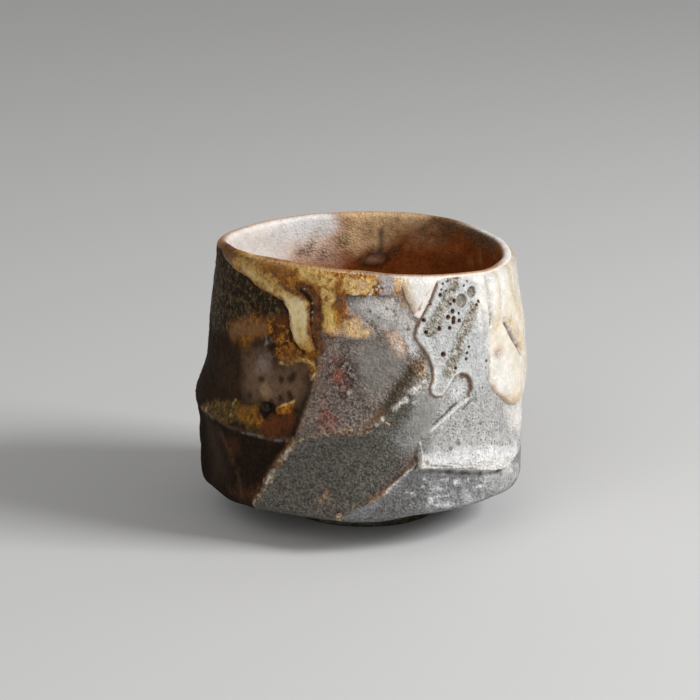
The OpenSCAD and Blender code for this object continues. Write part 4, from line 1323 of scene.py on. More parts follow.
@dataclass
class BubbledGlaze(WallLayer):
    """The raised grey sheet with burst bubbles."""

    name: str = "bubbled_grey_sheet"
    span: tuple[Spot, Spot] = ((285.5, 321.0), (27.5, 55.6))
    step: float = 0.12
    base: Fired = Fired.SHEET
    thick: float = 0.6
    round_in: float = 0.95
    gentle_in: float = 3.2
    edge_lumps: float = 0.08
    swell: float = 0.08
    whole_from: float = 0.5
    least: float = 0.03
    least_from: float = 0.25
    fade_reach: Spot = (2.4, 0.5)
    fade_colour: Spot = (2, 1)
    rim: Place = (0.1, 0.8, 0.5)
    pale_rim: Place = (0.6, 0.75, 0.35)
    dark_rim: Spot = (0.45, 0.15)
    rim_right: Spot = (309.5, 308)
    rim_top: Spot = (54.5, 53.5)
    right_fade: Spot = (321, 315)
    right_least: float = 0.3
    crust_rise: float = 0.24
    crust_reach: Spot = (1.5, 0.7)
    crust_colour: Spot = (1.6, 0.7)
    crust_uneven: float = 0.4
    bump: Run = ((313.2, 47.9), (316.9, 46.6), (319, 44.4))
    bump_height: float = 0.3
    bump_half: float = 0.9
    pit_depth: float = 0.5
    pit_wall: Spot = (1.1, 0.5)
    pit_rim: Place = (0.05, 1.3, 0.25)
    pit_stain: Spot = (1.3, 1)
    pit_dark: Spot = (0.95, 0.55)
    dark_share: float = 0.85
    crater_depth: float = 0.55
    crater_wall: Spot = (1.05, 0.7)
    crater_bowl: float = 0.3
    crater_rim: Place = (0.08, 1.15, 0.15)
    crater_stain: Spot = (1.05, 0.9)
    stain_share: float = 0.9
    outline: Run = ((297, 54), (294.1, 50.8), (290.1, 47.2), (287.9, 45.2), (286.9, 43.5), (288, 42.3),
                    (290, 40.9), (291.7, 39.3), (292.6, 37.3), (292.5, 35), (291.4, 33.6), (291.9, 32.2),
                    (293.8, 31.3), (296.6, 31.2), (299.3, 32.9), (301.4, 34.6), (304, 35.2), (306.6, 34.6),
                    (308.1, 33.3), (308.3, 31.8), (307.2, 29.8), (309.1, 28.3), (312.6, 28.3), (315.8, 30.6),
                    (318.5, 38.7), (319, 46), (318.5, 55.4), (306, 55.4), (299, 55))
    faded: tuple[Run, ...] = (((307.6, 29.6), (309.4, 28.4), (312.6, 28.3), (315.8, 30.6), (317.6, 35)),
                              ((298, 54.6), (303, 55.3), (318, 55.3)))
    pits: tuple[Place, ...] = (
        (300.5, 53.5, 0.34), (298.5, 53, 0.2), (297.5, 52, 0.2), (297, 51, 0.38), (293, 49.5, 0.3),
        (290.5, 46.5, 0.36), (291, 44.2, 0.36), (296, 44.6, 0.44), (299.5, 46.6, 0.44), (301.5, 47.6, 0.44),
        (301.7, 46.2, 0.42), (301.6, 45.5, 0.42), (300, 44.5, 0.36), (304, 45.6, 0.36), (304, 47, 0.24),
        (302.5, 49.5, 0.4), (301, 49, 0.24), (313, 48.6, 0.28), (312, 48, 0.26), (297, 39.6, 0.48),
        (307.5, 40.2, 0.24), (306.5, 39.1, 0.28), (306, 38, 0.28), (301.5, 36.6, 0.28), (315, 36.7, 0.26),
        (313, 31.6, 0.2), (307, 52.1, 0.2), (308.7, 52.8, 0.16), (299.4, 51.6, 0.18), (314.6, 35.4, 0.16))
    craters: tuple[Place, ...] = ((305.6, 49.3, 1.36), (310.4, 50.6, 1.14))
    crusts: tuple[Run, ...] = (((304, 53.4), (298.4, 49.1), (293, 44)),
                               ((310.4, 47.4), (305.1, 42.8), (299, 36.2)))
    marks: Marks = SHEET_MARKS

    def faded_mm(self, a: Floats, z: Floats) -> Floats:
        """Distance to the stretches where the sheet's edge fades."""
        return np.min([self.form.run_mm(a, z, run) for run in self.faded], axis=0)

    def radii(self, a: Floats, z: Floats, hole: Place) -> Floats:
        """Distance from a hole's middle, in its own radii."""
        direction, height, radius = hole
        return self.form.run_mm(a, z, ((direction, height),)) / radius

    def coat(self, a: Floats, z: Floats, plain: Floats) -> Floats:
        """A sheet with a rounded edge that fades in places, burst bubbles and two rough stripes."""
        form = self.form
        depth = form.outline_mm(a, z, self.outline) + self.edge_lumps * Noise.SHEET_EDGE.at(plain)
        fading = ease(*self.fade_reach, self.faded_mm(a, z))
        hard = self.edge(depth, self.thick, self.round_in) + hump(self.rim, depth) * (depth > 0)
        gentle = np.where(depth > 0, self.thick * ease(0.0, self.gentle_in, depth), self.fall * depth)
        found = hard + fading * (gentle - hard)
        found = found * (self.right_least + (1.0 - self.right_least) * ease(*self.right_fade, a))
        whole = depth > self.whole_from
        found = found + self.swell * Noise.SHEET_SWELL.rough(plain) * whole
        for crust in self.crusts:
            near = ease(*self.crust_reach, form.run_mm(a, z, crust))
            found = found + self.crust_rise * Noise.CRUST.rough(plain) * near
        found = found + self.bump_height * bell(form.run_mm(a, z, self.bump), self.bump_half) * whole
        for pit in self.pits:
            gap = self.radii(a, z, pit)
            found = found - self.pit_depth * ease(*self.pit_wall, gap) + hump(self.pit_rim, gap)
        for crater in self.craters:
            gap = self.radii(a, z, crater)
            bowl = self.crater_depth * ease(*self.crater_wall, gap) * (1.0 - self.crater_bowl * gap)
            found = found - bowl + hump(self.crater_rim, gap)
        return np.where(depth > self.least_from, np.maximum(found, self.least), found)

    def colours(self, a: Floats, z: Floats) -> Floats:
        """Grey, with a brown edge, brown pits, shaded craters and tan stripes."""
        form = self.form
        found = super().colours(a, z)
        depth = form.outline_mm(a, z, self.outline)
        uneven = self.crust_uneven * Noise.CRUST_EDGE.rough(form.plain_place(a, z))
        for crust in self.crusts:
            near = ease(*self.crust_colour, form.run_mm(a, z, crust) + uneven)
            found = lay(found, Fired.CRUST, self.stain_share * near)
        shown = 1.0 - ease(*self.fade_colour, self.faded_mm(a, z))
        left = ease(*self.rim_right, a) * ease(*self.rim_top, z) * shown
        found = lay(found, Fired.MILK, hump(self.pale_rim, depth) * left)
        found = lay(found, Fired.SEPIA, self.stain_share * ease(*self.dark_rim, depth) * left)
        for pit in self.pits:
            gap = self.radii(a, z, pit)
            found = lay(found, Fired.PIT, self.stain_share * ease(*self.pit_stain, gap))
            found = lay(found, Fired.SOOT_AND_SHADE, self.dark_share * ease(*self.pit_dark, gap))
        for crater in self.craters:
            stain = ease(*self.crater_stain, self.radii(a, z, crater))
            found = lay(found, Fired.CRATER, self.stain_share * stain)
        return found


CREAM_MARKS: Marks = (
    patch(Fired.MILK, (317, 57), (338, 57), (332, 50), (325, 45), (318, 45), soft=2, ragged=1),
    patch(Fired.MILK, (317, 37), (326, 38), (331, 33), (328, 28), (319, 30), soft=1.5, strength=0.8),
    stroke(Fired.STRAW, 0.6, (324.5, 54), (326, 50), (324.6, 46), (322, 42.6), soft=1.2, strength=0.5),
    stroke(Fired.STRAW, 0.8, (336, 53), (335.5, 48), (339, 44), soft=1.6, strength=0.5),
    stroke(Fired.LILAC, 0.5, (318.6, 52.6), (320, 49), (319.6, 45), soft=0.8, strength=0.45),
    stroke(Fired.PEACH, 0.6, (331, 43), (335.8, 39.7), (339.6, 36.2), soft=0.9, strength=0.75),
    patch(Fired.COCOA, (326.7, 43.7), (330.2, 41.8), (333.7, 39.4), (336.4, 37.1), (340, 34.4),
          (335.5, 36.5), (331.8, 38.5), (328.6, 41), soft=0.45, ragged=0.3),
    stroke(Fired.LILAC, 0.36, (329.6, 41.5), (332.6, 39.6), (335.4, 37.7), soft=0.4, ragged=0.3,
           strength=0.5),
    stroke(Fired.SOOT_AND_SHADE, 0.18, (327.6, 42.5), (330, 40.5), (333.4, 38.1), (338, 35.7), soft=0.25,
           strength=0.75),
    *spots(Fired.TAN, 1.1, (322.4, 37.7), soft=1, strength=0.75),
    *spots(Fired.LILAC, 0.7, (322, 37.3), soft=0.8, strength=0.9),
    stroke(Fired.TAN, 0.5, (318.8, 30.6), (320.6, 29.4), (323.8, 28.2), (329.4, 26.3), (334.7, 25.4),
           (341, 25.4), (346, 26.2), soft=0.7, strength=0.85),
    patch(Fired.PEACH, (328, 28.4), (335, 27.6), (343, 28), (340, 25.6), (330, 26), soft=1.2, strength=0.55),
    stroke(Fired.LILAC, 0.4, (317.4, 33.5), (317.2, 38.5), (318.8, 42.4), (318.8, 47), soft=0.7, ragged=0.5,
           strength=0.4, broken=0.6),
    stroke(Fired.PEACH, 1.2, (340, 47), (343, 41), (345, 36), (347, 30), soft=2.2, strength=0.4),
    patch(Fired.STRAW, (350, 57), (389, 57), (389, 46), (371, 38), (356, 29.5), soft=4, ragged=1.5,
          strength=0.5),
    stroke(Fired.TAN, 0.6, (357, 30), (364, 34), (374, 41), (385, 48), soft=0.8, strength=0.8),
    patch(Fired.MILK, (281.5, 56), (284, 52.2), (287.9, 47.5), (294.6, 52.7), (298, 56), soft=0.3),
    stroke(Fired.TAN, 0.5, (284.4, 55.4), (284.6, 53.4), (285.5, 51), (287.3, 48.3), soft=1.2, ragged=0.5,
           strength=0.55),
    stroke(Fired.HONEY, 0.4, (284.6, 55.4), (284.8, 53.4), (285.7, 51), (287, 49), soft=0.9, ragged=0.5,
           strength=0.4),
    *spots(Fired.ROSE_TAN, 0.5, (287.9, 48), (288.8, 48.6), strength=0.8),
)


@dataclass
class CreamGlaze(WallLayer):
    """The thick cream run on the right and the white wedge that hangs from the lip."""

    name: str = "cream_run_and_wedge"
    span: tuple[Spot, Spot] = ((281.0, 389.0), (24.0, 56.4))
    step: float = 0.22
    base: Fired = Fired.CREAM
    thick: float = 0.7
    round_in: float = 1.6
    edge_lumps: float = 0.15
    left_lumps: float = 0.7
    left_at: Spot = (323, 319)
    left_above: Spot = (31, 34)
    rises_from: Spot = (316, 326)
    rises_below: Spot = (35, 31)
    least: float = 0.08
    wedge_thick: float = 0.4
    wedge_round: float = 1.2
    wedge_lumps: float = 0.4
    full_from: float = 0.2
    end: Run = ((327, 28.5), (335, 27), (341, 27.5))
    end_height: float = 0.25
    end_half: float = 1.8
    swell: float = 0.12
    bulge: float = 0.26
    bulge_left: Spot = (332, 346)
    bulge_right: Spot = (376, 360)
    bulge_low: Spot = (26.5, 30)
    bulge_high: Spot = (45, 40)
    slit_depth: float = 0.55
    slit_half: float = 0.7
    dimple_depth: float = 0.4
    dimple_half: float = 0.9
    fold_fade: Spot = (0.1, 0.5)
    run: Run = ((315, 54.6), (317.4, 51), (318.4, 47), (319, 42.4), (317, 39.8), (317, 35.8), (317.6, 31.8),
                (319, 30.4), (323.8, 28.3), (327.1, 27), (331, 25.8), (335.8, 25.1), (339.4, 25.1),
                (344.3, 25.6), (353, 28), (362, 32.5), (372, 39.5), (384, 47.5), (387, 55.2), (350, 56.2),
                (325, 56.2))
    wedge: Run = ((281.8, 55.6), (284, 52.4), (285.9, 50.1), (287.9, 47.7), (291.1, 50), (294.6, 52.7),
                  (297.5, 55.2))
    folds: tuple[Raised, ...] = (
        Raised(0.25, 1.2, ((321, 54), (323.4, 49.6), (322.4, 46), (320.6, 43)), 0.2),
        Raised(-0.22, 0.9, ((327, 54), (328, 49.4), (326, 45.4)), 0.2),
        Raised(0.25, 1.2, ((333, 53), (333, 48.6), (336.6, 44.6)), 0.2),
        Raised(0.4, 1.0, ((330.6, 44), (334.6, 41), (339, 37.4), (341.6, 35)), 0.1),
        Raised(0.22, 0.9, ((326.4, 41.4), (330.4, 38.8), (335.6, 35.4)), 0.1),
        Raised(0.25, 0.8, ((319.4, 39), (320.4, 36.2), (323.4, 35.4)), 0.1),
        Raised(0.3, 2.2, ((322, 33), (328, 31), (335, 29)), 0.0),
    )
    slit: Run = ((327.2, 43.2), (329.9, 41.1), (333.4, 38.6), (338.4, 35.6))
    dimple: Spot = (322.1, 37.4)
    marks: Marks = CREAM_MARKS

    def coat(self, a: Floats, z: Floats, plain: Floats) -> Floats:
        """Thick and soft, with a rounded lower end, a slit and a dimple."""
        form = self.form
        left = ease(*self.left_at, a) * ease(*self.left_above, z)
        soft = (self.edge_lumps + self.left_lumps * left) * Noise.CREAM_EDGE.rough(plain)
        run = self.edge(form.outline_mm(a, z, self.run) + soft, self.thick, self.round_in)
        rising = np.maximum(ease(*self.rises_from, a), ease(*self.rises_below, z))
        run = np.where(run > 0.0, run * (self.least + (1.0 - self.least) * rising), run)
        wedge = form.outline_mm(a, z, self.wedge) + self.wedge_lumps * soft
        found = np.maximum(run, self.edge(wedge, self.wedge_thick, self.wedge_round))
        end = self.end_height * bell(form.run_mm(a, z, self.end), self.end_half)
        found = found + (end + self.swell * Noise.CREAM_SWELL.at(plain)) * (found > self.full_from)
        bulge = ease(*self.bulge_left, a) * ease(*self.bulge_right, a)
        bulge = bulge * ease(*self.bulge_low, z) * ease(*self.bulge_high, z)
        found = found + self.bulge * bulge * (found > self.full_from)
        found = found - self.slit_depth * bell(form.run_mm(a, z, self.slit), self.slit_half)
        found = found - self.dimple_depth * bell(form.run_mm(a, z, (self.dimple,)), self.dimple_half)
        folds = sum(fold.rise(form, a, z, plain) for fold in self.folds)
        return found + folds * ease(*self.fold_fade, run)


ASH_MARKS: Marks = (
    patch(Fired.GOLD, (199, 54.6), (209.6, 52.6), (219.5, 51.8), (228.8, 50.3), (238.9, 49), (242, 47),
          (246, 50), (240.1, 51.2), (235.1, 53.1), (229.9, 53.8), (227, 54.8), (222, 55.8), (215, 56.2),
          (205, 56.2), soft=0.7, ragged=0.6),
    patch(Fired.STRAW, (208, 54), (219.5, 52.8), (228.8, 51.2), (238.9, 49.9), (242, 47.6), (245, 50),
          (240.1, 51.2), (235.1, 53), (229.9, 53.7), (224, 55), (215, 55.8), soft=0.8, ragged=0.7,
          strength=0.6),
    patch(Fired.BUTTER, (238.2, 50.2), (246, 50.4), (249.8, 49.4), (250.2, 45.3), (250.4, 42.4), (248, 41.2),
          (244.2, 42.8), (242, 46.2), soft=0.9, ragged=0.6),
    stroke(Fired.BUTTER, 0.5, (217, 53.6), (224, 52.6), (231, 51.3), (238, 50.2), soft=0.7, strength=0.4,
           broken=0.3),
    patch(Fired.RED_BROWN, (192, 57.5), (192, 54), (199, 54.2), (204, 54.9), (212, 56.2), (217, 57.5),
          soft=0.7, ragged=0.6),
    patch(Fired.GINGER, (227.5, 54.9), (231.2, 55.6), (237.7, 55.6), (242, 55.2), (241, 54), (236, 53.7),
          (231, 54), soft=0.7, ragged=0.8),
    *spots(Fired.RED_BROWN, 0.8, (203, 54.7), (208, 55.2), (213, 55.4), (206, 54), broken=0.4,
           strength=0.75),
    *spots(Fired.RED_BROWN, 0.55, (229.5, 54.3), (233, 54.6), (236, 54.9), (239.6, 54.4), (234.6, 53.9),
           (218, 55.9), (212.5, 55.8), (241.8, 54.7), strength=0.7),
    stroke(Fired.RED_BROWN, 0.24, (208, 57.1), (217, 57), (228, 56.9), (240, 56.6), (252, 56), strength=0.6,
           broken=0.4),
    stroke(Fired.PEACH, 0.4, (217, 56.3), (230, 56.2), (243, 55.9), (252, 55.4), soft=0.5, strength=0.45,
           broken=0.3),
    patch(Fired.HONEY, (244, 56.3), (255.5, 55.8), (260, 54.8), (258, 53), (252.8, 53.2), (246, 53.8),
          soft=0.6),
    patch(Fired.STRAW, (246, 55.4), (254, 55.2), (256, 54), (250, 53.5), soft=0.6, strength=0.7, broken=0.3),
    stroke(Fired.RED_BROWN, 0.42, (236.4, 52.6), (239.9, 51.7), (242.6, 51.1), (246, 50.6), strength=0.85,
           broken=0.15),
    stroke(Fired.GINGER, 0.34, (244, 53.1), (248, 53.3), (251.4, 52.7), (254, 50.8), strength=0.8,
           broken=0.2),
    stroke(Fired.GINGER, 0.34, (249.8, 49.6), (250.2, 45.3), (251.2, 42.8), (253, 41.2), strength=0.9,
           broken=0.25),
    patch(Fired.AMBER, (244.4, 41.8), (248.6, 40.9), (253.4, 41.3), (253.6, 40), (249.4, 39.8), (245, 40.4),
          soft=0.7),
    stroke(Fired.STRAW, 0.8, (247, 44), (248.4, 42.4), (251.4, 41), soft=0.9, ragged=0.6, strength=0.75),
    patch(Fired.HONEY, (253.6, 54.8), (259.6, 54.7), (260, 50.5), (257.1, 48.7), (253.7, 50)),
    patch(Fired.STRAW, (253.7, 49.6), (257, 49.8), (259.6, 47.9), (259.8, 44.8), (257.4, 43.6),
          (254.4, 44.2), soft=0.4),
    stroke(Fired.GINGER, 0.42, (260.2, 53.6), (260.3, 50.8), (259.2, 48.9), strength=0.9, broken=0.2),
    *spots(Fired.RED_BROWN, 0.5, (256.4, 50.6), (258.6, 52.4), (256, 52.8), (262, 53.6), strength=0.7,
           broken=0.2),
    patch(Fired.DUSK, (258.9, 51.3), (263.2, 51.6), (263, 49.2), (259.8, 48.8)),
    patch(Fired.RED_BROWN, (260.6, 47.6), (265.4, 47.6), (265.2, 45), (261.4, 44.8), soft=0.6, strength=0.8),
    patch(Fired.PEACH, (262.6, 46.4), (265, 47.6), (269.2, 46.6), (273, 44.9), (272.5, 43), (266.5, 42.8),
          (260.5, 43.6), soft=0.8, ragged=0.6),
    patch(Fired.TAN, (256, 45), (262, 45.2), (264, 43.6), (257, 43.2), soft=0.7, strength=0.7),
    patch(Fired.HONEY, (262, 54.6), (268.5, 55.2), (273.8, 54.3), (273.4, 51.7), (267.8, 51.5),
          (263.2, 51.7)),
    patch(Fired.PEACH, (263.5, 54.2), (269, 54.6), (273, 53.4), (268.5, 52), soft=0.6, strength=0.9,
          broken=0.2),
    patch(Fired.LILAC, (274.8, 56), (281, 55.6), (281, 51.2), (276, 51.2), soft=0.6),
    patch(Fired.TAN, (280.6, 55.8), (285, 55.8), (285.4, 50), (281.4, 51), soft=1.3, ragged=0.8,
          strength=0.55),
    patch(Fired.BUTTER, (281.4, 55.6), (285, 55.8), (285.4, 50), (282, 51), soft=1.2, ragged=0.8,
          strength=0.5),
    *spots(Fired.RED_BROWN, 0.34, (273.4, 53.2), (275, 53.9), (276.4, 52.8), (274, 52), (271.5, 51.9)),
    *spots(Fired.CHALK, 0.26, (273.8, 53.8), (275.2, 53.2), (276.6, 53.4), (274.4, 52.6), (272.7, 52.5),
           (275.8, 52.5), (266, 51.6), (267.3, 51.7), (272, 51.6)),
    patch(Fired.LIP_TAN, (240, 57.6), (262, 57), (275, 56.4), (275, 55.5), (258, 56), (240, 56.9), soft=0.4,
          strength=0.6),
)


@dataclass
class AshGlaze(WallLayer):
    """The amber and cream ash runs that hang from the lip on the left."""

    name: str = "amber_ash_runs"
    span: tuple[Spot, Spot] = ((190.0, 287.0), (39.0, 57.2))
    step: float = 0.18
    base: Fired = Fired.AMBER
    thick: float = 0.42
    round_in: float = 0.8
    edge_lumps: float = 0.12
    fan_thins: float = 0.6
    fan_from: Spot = (259, 264)
    fan_below: Spot = (50, 48)
    drip_swell: float = 0.25
    drip_half: float = 1.2
    swell: float = 0.06
    full_from: float = 0.3
    rim_lumps: float = 0.65
    rim_below_lip: Spot = (0.6, 1.8)
    rim_right: Spot = (255, 262)
    rim_left: Spot = (246.5, 243.5)
    left_fades: float = 0.75
    ginger_rim: Spot = (1, 0.3)
    ginger_share: float = 0.8
    brown_rim: Spot = (0.45, 0.1)
    brown_share: float = 0.85
    fan_colour_from: Spot = (257, 262)
    fan_rim: Spot = (1.3, 0.1)
    fan_low: Spot = (46, 44.4)
    mist_share: float = 0.9
    lilac_share: float = 0.8
    outline: Run = ((194, 55), (200, 54), (209.6, 52.7), (219.5, 52), (224, 51), (233.5, 49.8),
                    (238.2, 49.2), (240.8, 47.5), (241.9, 44.5), (243.9, 41.9), (247.1, 40.3), (250.6, 40),
                    (253.6, 40.8), (251.8, 42.6), (250.2, 45.3), (249.8, 49.4), (246.4, 51), (243.2, 51.8),
                    (243.4, 52.9), (247.4, 53), (251, 52.3), (253.7, 50.4), (253.9, 46.9), (254.9, 44.3),
                    (258.1, 43.4), (261.7, 43.6), (265.8, 42.9), (270.2, 42.8), (274, 43.6), (273.6, 45),
                    (271.3, 46), (268.5, 47.7), (265, 48.9), (263.4, 50), (263.4, 51.3), (267.8, 51.4),
                    (273.4, 51.5), (276.5, 51.4), (280.7, 51.2), (283.2, 52.6), (284.5, 56), (240, 57.2),
                    (194, 57.2))
    drips: tuple[Run, ...] = (((247.2, 41.8), (246.6, 44)), ((257.3, 45), (257, 47)))
    marks: Marks = ASH_MARKS

    def coat(self, a: Floats, z: Floats, plain: Floats) -> Floats:
        """A thin run whose drips end thicker."""
        form = self.form
        depth = form.outline_mm(a, z, self.outline) + self.edge_lumps * Noise.ASH_EDGE.rough(plain)
        found = self.edge(depth, self.thick, self.round_in)
        fan = self.fan_thins * ease(*self.fan_from, a) * ease(*self.fan_below, z)
        found = np.where(depth > 0, found * (1.0 - fan), found)
        swell = sum(self.drip_swell * bell(form.run_mm(a, z, drip), self.drip_half) for drip in self.drips)
        return found + (swell + self.swell * Noise.ASH_SWELL.rough(plain)) * (depth > self.full_from)

    def colours(self, a: Floats, z: Floats) -> Floats:
        """Pale where the run is thick, and brown where it thins out."""
        found = super().colours(a, z)
        uneven = self.rim_lumps * Noise.ASH_RIM.rough(self.form.plain_place(a, z))
        rim = self.form.outline_mm(a, z, self.outline) + uneven
        below = ease(*self.rim_below_lip, self.form.lip_z(a) - z) * (1.0 - ease(*self.rim_right, a))
        below = below * (1.0 - self.left_fades * ease(*self.rim_left, a))
        fan = ease(*self.fan_colour_from, a) * ease(*self.fan_below, z) * ease(*self.fan_rim, rim)
        start, whole = self.fan_low
        found = lay(found, Fired.MIST, self.mist_share * fan * ease(start, whole, z))
        found = lay(found, Fired.LILAC, self.lilac_share * fan * ease(whole, start, z))
        found = lay(found, Fired.GINGER, self.ginger_share * ease(*self.ginger_rim, rim) * below)
        return lay(found, Fired.RED_BROWN, self.brown_share * ease(*self.brown_rim, rim) * below)


# Direction, percentage of the way up the wall and radius in millimetres
BEADS: tuple[Place, ...] = ((233.5, 43, 1.1),)
PEBBLES: tuple[Place, ...] = ((262, 4.2, 0.9), (256, 11, 0.63), (265, 39, 0.63), (277.5, 42, 0.54))


@dataclass
class WallDrops:
    """Small rounded things that sit in the wall: beads of glass or grains of stone."""

    form: CupForm
    relief: Relief
    name: str
    fired: Fired
    drops: tuple[Place, ...]
    flat: float = 0.8
    uneven: float = 0.0
    fineness: int = 5
    first_seed: int = 70
    lump: float = 0.8
    apart: float = 5.0

    def build(self) -> bpy.types.Object:
        """Sets a ball into the wall at each place and joins them.

        Returns:
            One piece with a closed skin for each drop.
        """
        made = [self.drop(*drop, seed=i) for i, drop in enumerate(self.drops)]
        deselect()
        for obj in made:
            obj.select_set(True)
        bpy.context.view_layer.objects.active = made[0]
        if len(made) > 1:
            bpy.ops.object.join()
        obj = made[0]
        obj.name = self.name
        obj.data.name = self.name
        write_channels(obj, bare(self.fired, len(obj.data.vertices)))
        bpy.ops.object.shade_smooth()
        return obj

    def drop(self, direction: float, percent: float, radius: float, seed: int) -> bpy.types.Object:
        """Makes one ball, flattened on the wall and uneven.

        Args:
            direction: Its direction in degrees.
            percent: How far up the wall it sits.
            radius: Its radius in millimetres.
            seed: Its number, which its lumps follow.
        Returns:
            The ball, set into the wall.
        """
        form = self.form
        deselect()
        bpy.ops.mesh.primitive_ico_sphere_add(subdivisions=self.fineness, radius=1.0)
        obj = bpy.context.active_object
        ball = read_places(obj)
        lumps = Lumps(self.first_seed + seed).rough(ball + self.apart * seed, self.lump)
        ball = ball * (1.0 + self.uneven * lumps)[:, None]
        a = np.array([float(direction)])
        z = form.up(a, percent)
        ground = float((form.skin(a, z) + self.relief.rise(a, z))[0])
        angle = math.radians(direction)
        out = np.array([math.cos(angle), math.sin(angle), 0.0])
        along = np.array([-math.sin(angle), math.cos(angle), 0.0])
        upward = np.array([0.0, 0.0, 1.0])
        middle = ground * out + float(z[0]) * upward
        spread = ball[:, :1] * along + ball[:, 1:2] * upward + self.flat * ball[:, 2:] * out
        write_places(obj, (middle + radius * spread) * MM)
        return obj


class Wiring:
    """Adds and joins the nodes of one tree."""

    def __init__(self, tree: bpy.types.NodeTree) -> None:
        """Starts from an empty tree."""
        self.tree = tree
        tree.nodes.clear()

    def add(self, kind: str, inputs: dict | None = None, **settings: object) -> bpy.types.Node:
        """Adds a node.

        Args:
            kind: The node's type name, without its first part.
            inputs: Values or sockets for its inputs, by name or number.
            settings: Values for its own properties.
        Returns:
            The node.
        """
        node = self.tree.nodes.new("ShaderNode" + kind)
        for name, value in settings.items():
            setattr(node, name, value)
        for name, value in (inputs or {}).items():
            if isinstance(value, bpy.types.NodeSocket):
                self.tree.links.new(value, node.inputs[name])
            else:
                node.inputs[name].default_value = value
        return node

    def sum(self, kind: str, one: object, other: object) -> bpy.types.NodeSocket:
        """A sum of two values or sockets, such as ADD or MULTIPLY."""
        return self.add("Math", {0: one, 1: other}, operation=kind).outputs[0]

    def between(self, value: object, low: float, high: float, start: float = 0.0,
                end: float = 1.0) -> bpy.types.NodeSocket:
        """A value spread smoothly from one range to another."""
        given = {0: value, 1: low, 2: high, 3: start, 4: end}
        return self.add("MapRange", given, interpolation_type="SMOOTHSTEP").outputs[0]

    def tint(self, colour: object, share: object) -> bpy.types.NodeSocket:
        """A colour made lighter or darker."""
        return self.add("VectorMath", {0: colour, "Scale": share}, operation="SCALE").outputs[0]

    def noise(self, place: object, scale: float, detail: float, rough: float) -> bpy.types.NodeSocket:
        """Cloudy values round a half."""
        given = {"Vector": place, "Scale": scale, "Detail": detail, "Roughness": rough}
        return self.add("TexNoise", given).outputs["Fac"]

    def mix(self, share: object, one: object, other: object) -> bpy.types.NodeSocket:
        """A colour between two others."""
        return self.add("Mix", {0: share, 6: one, 7: other}, data_type="RGBA").outputs[2]

    def grains(self, place: object, scale: float, near: Spot, chosen: Spot) -> bpy.types.NodeSocket:
        """Separate grains, of which only some are chosen.

        Args:
            place: Where to look.
            scale: Grains to the metre.
            near: Distances from a grain's middle at which it starts and is whole.
            chosen: Random values at which a grain starts to count and counts in full.
        Returns:
            1 on a chosen grain and 0 elsewhere.
        """
        cells = self.add("TexVoronoi", {"Vector": place, "Scale": scale})
        random = self.add("SeparateColor", {"Color": cells.outputs["Color"]}).outputs[0]
        here = self.between(cells.outputs["Distance"], *near)
        return self.sum("MULTIPLY", here, self.between(random, *chosen))


def new_group(name: str, inputs: dict[str, str], outputs: dict[str, str]) -> bpy.types.NodeTree:
    """Makes an empty node group with named sockets."""
    tree = bpy.data.node_groups.new(name, "ShaderNodeTree")
    for side, sockets in (("INPUT", inputs), ("OUTPUT", outputs)):
        for socket, kind in sockets.items():
            tree.interface.new_socket(name=socket, in_out=side, socket_type="NodeSocket" + kind)
    return tree


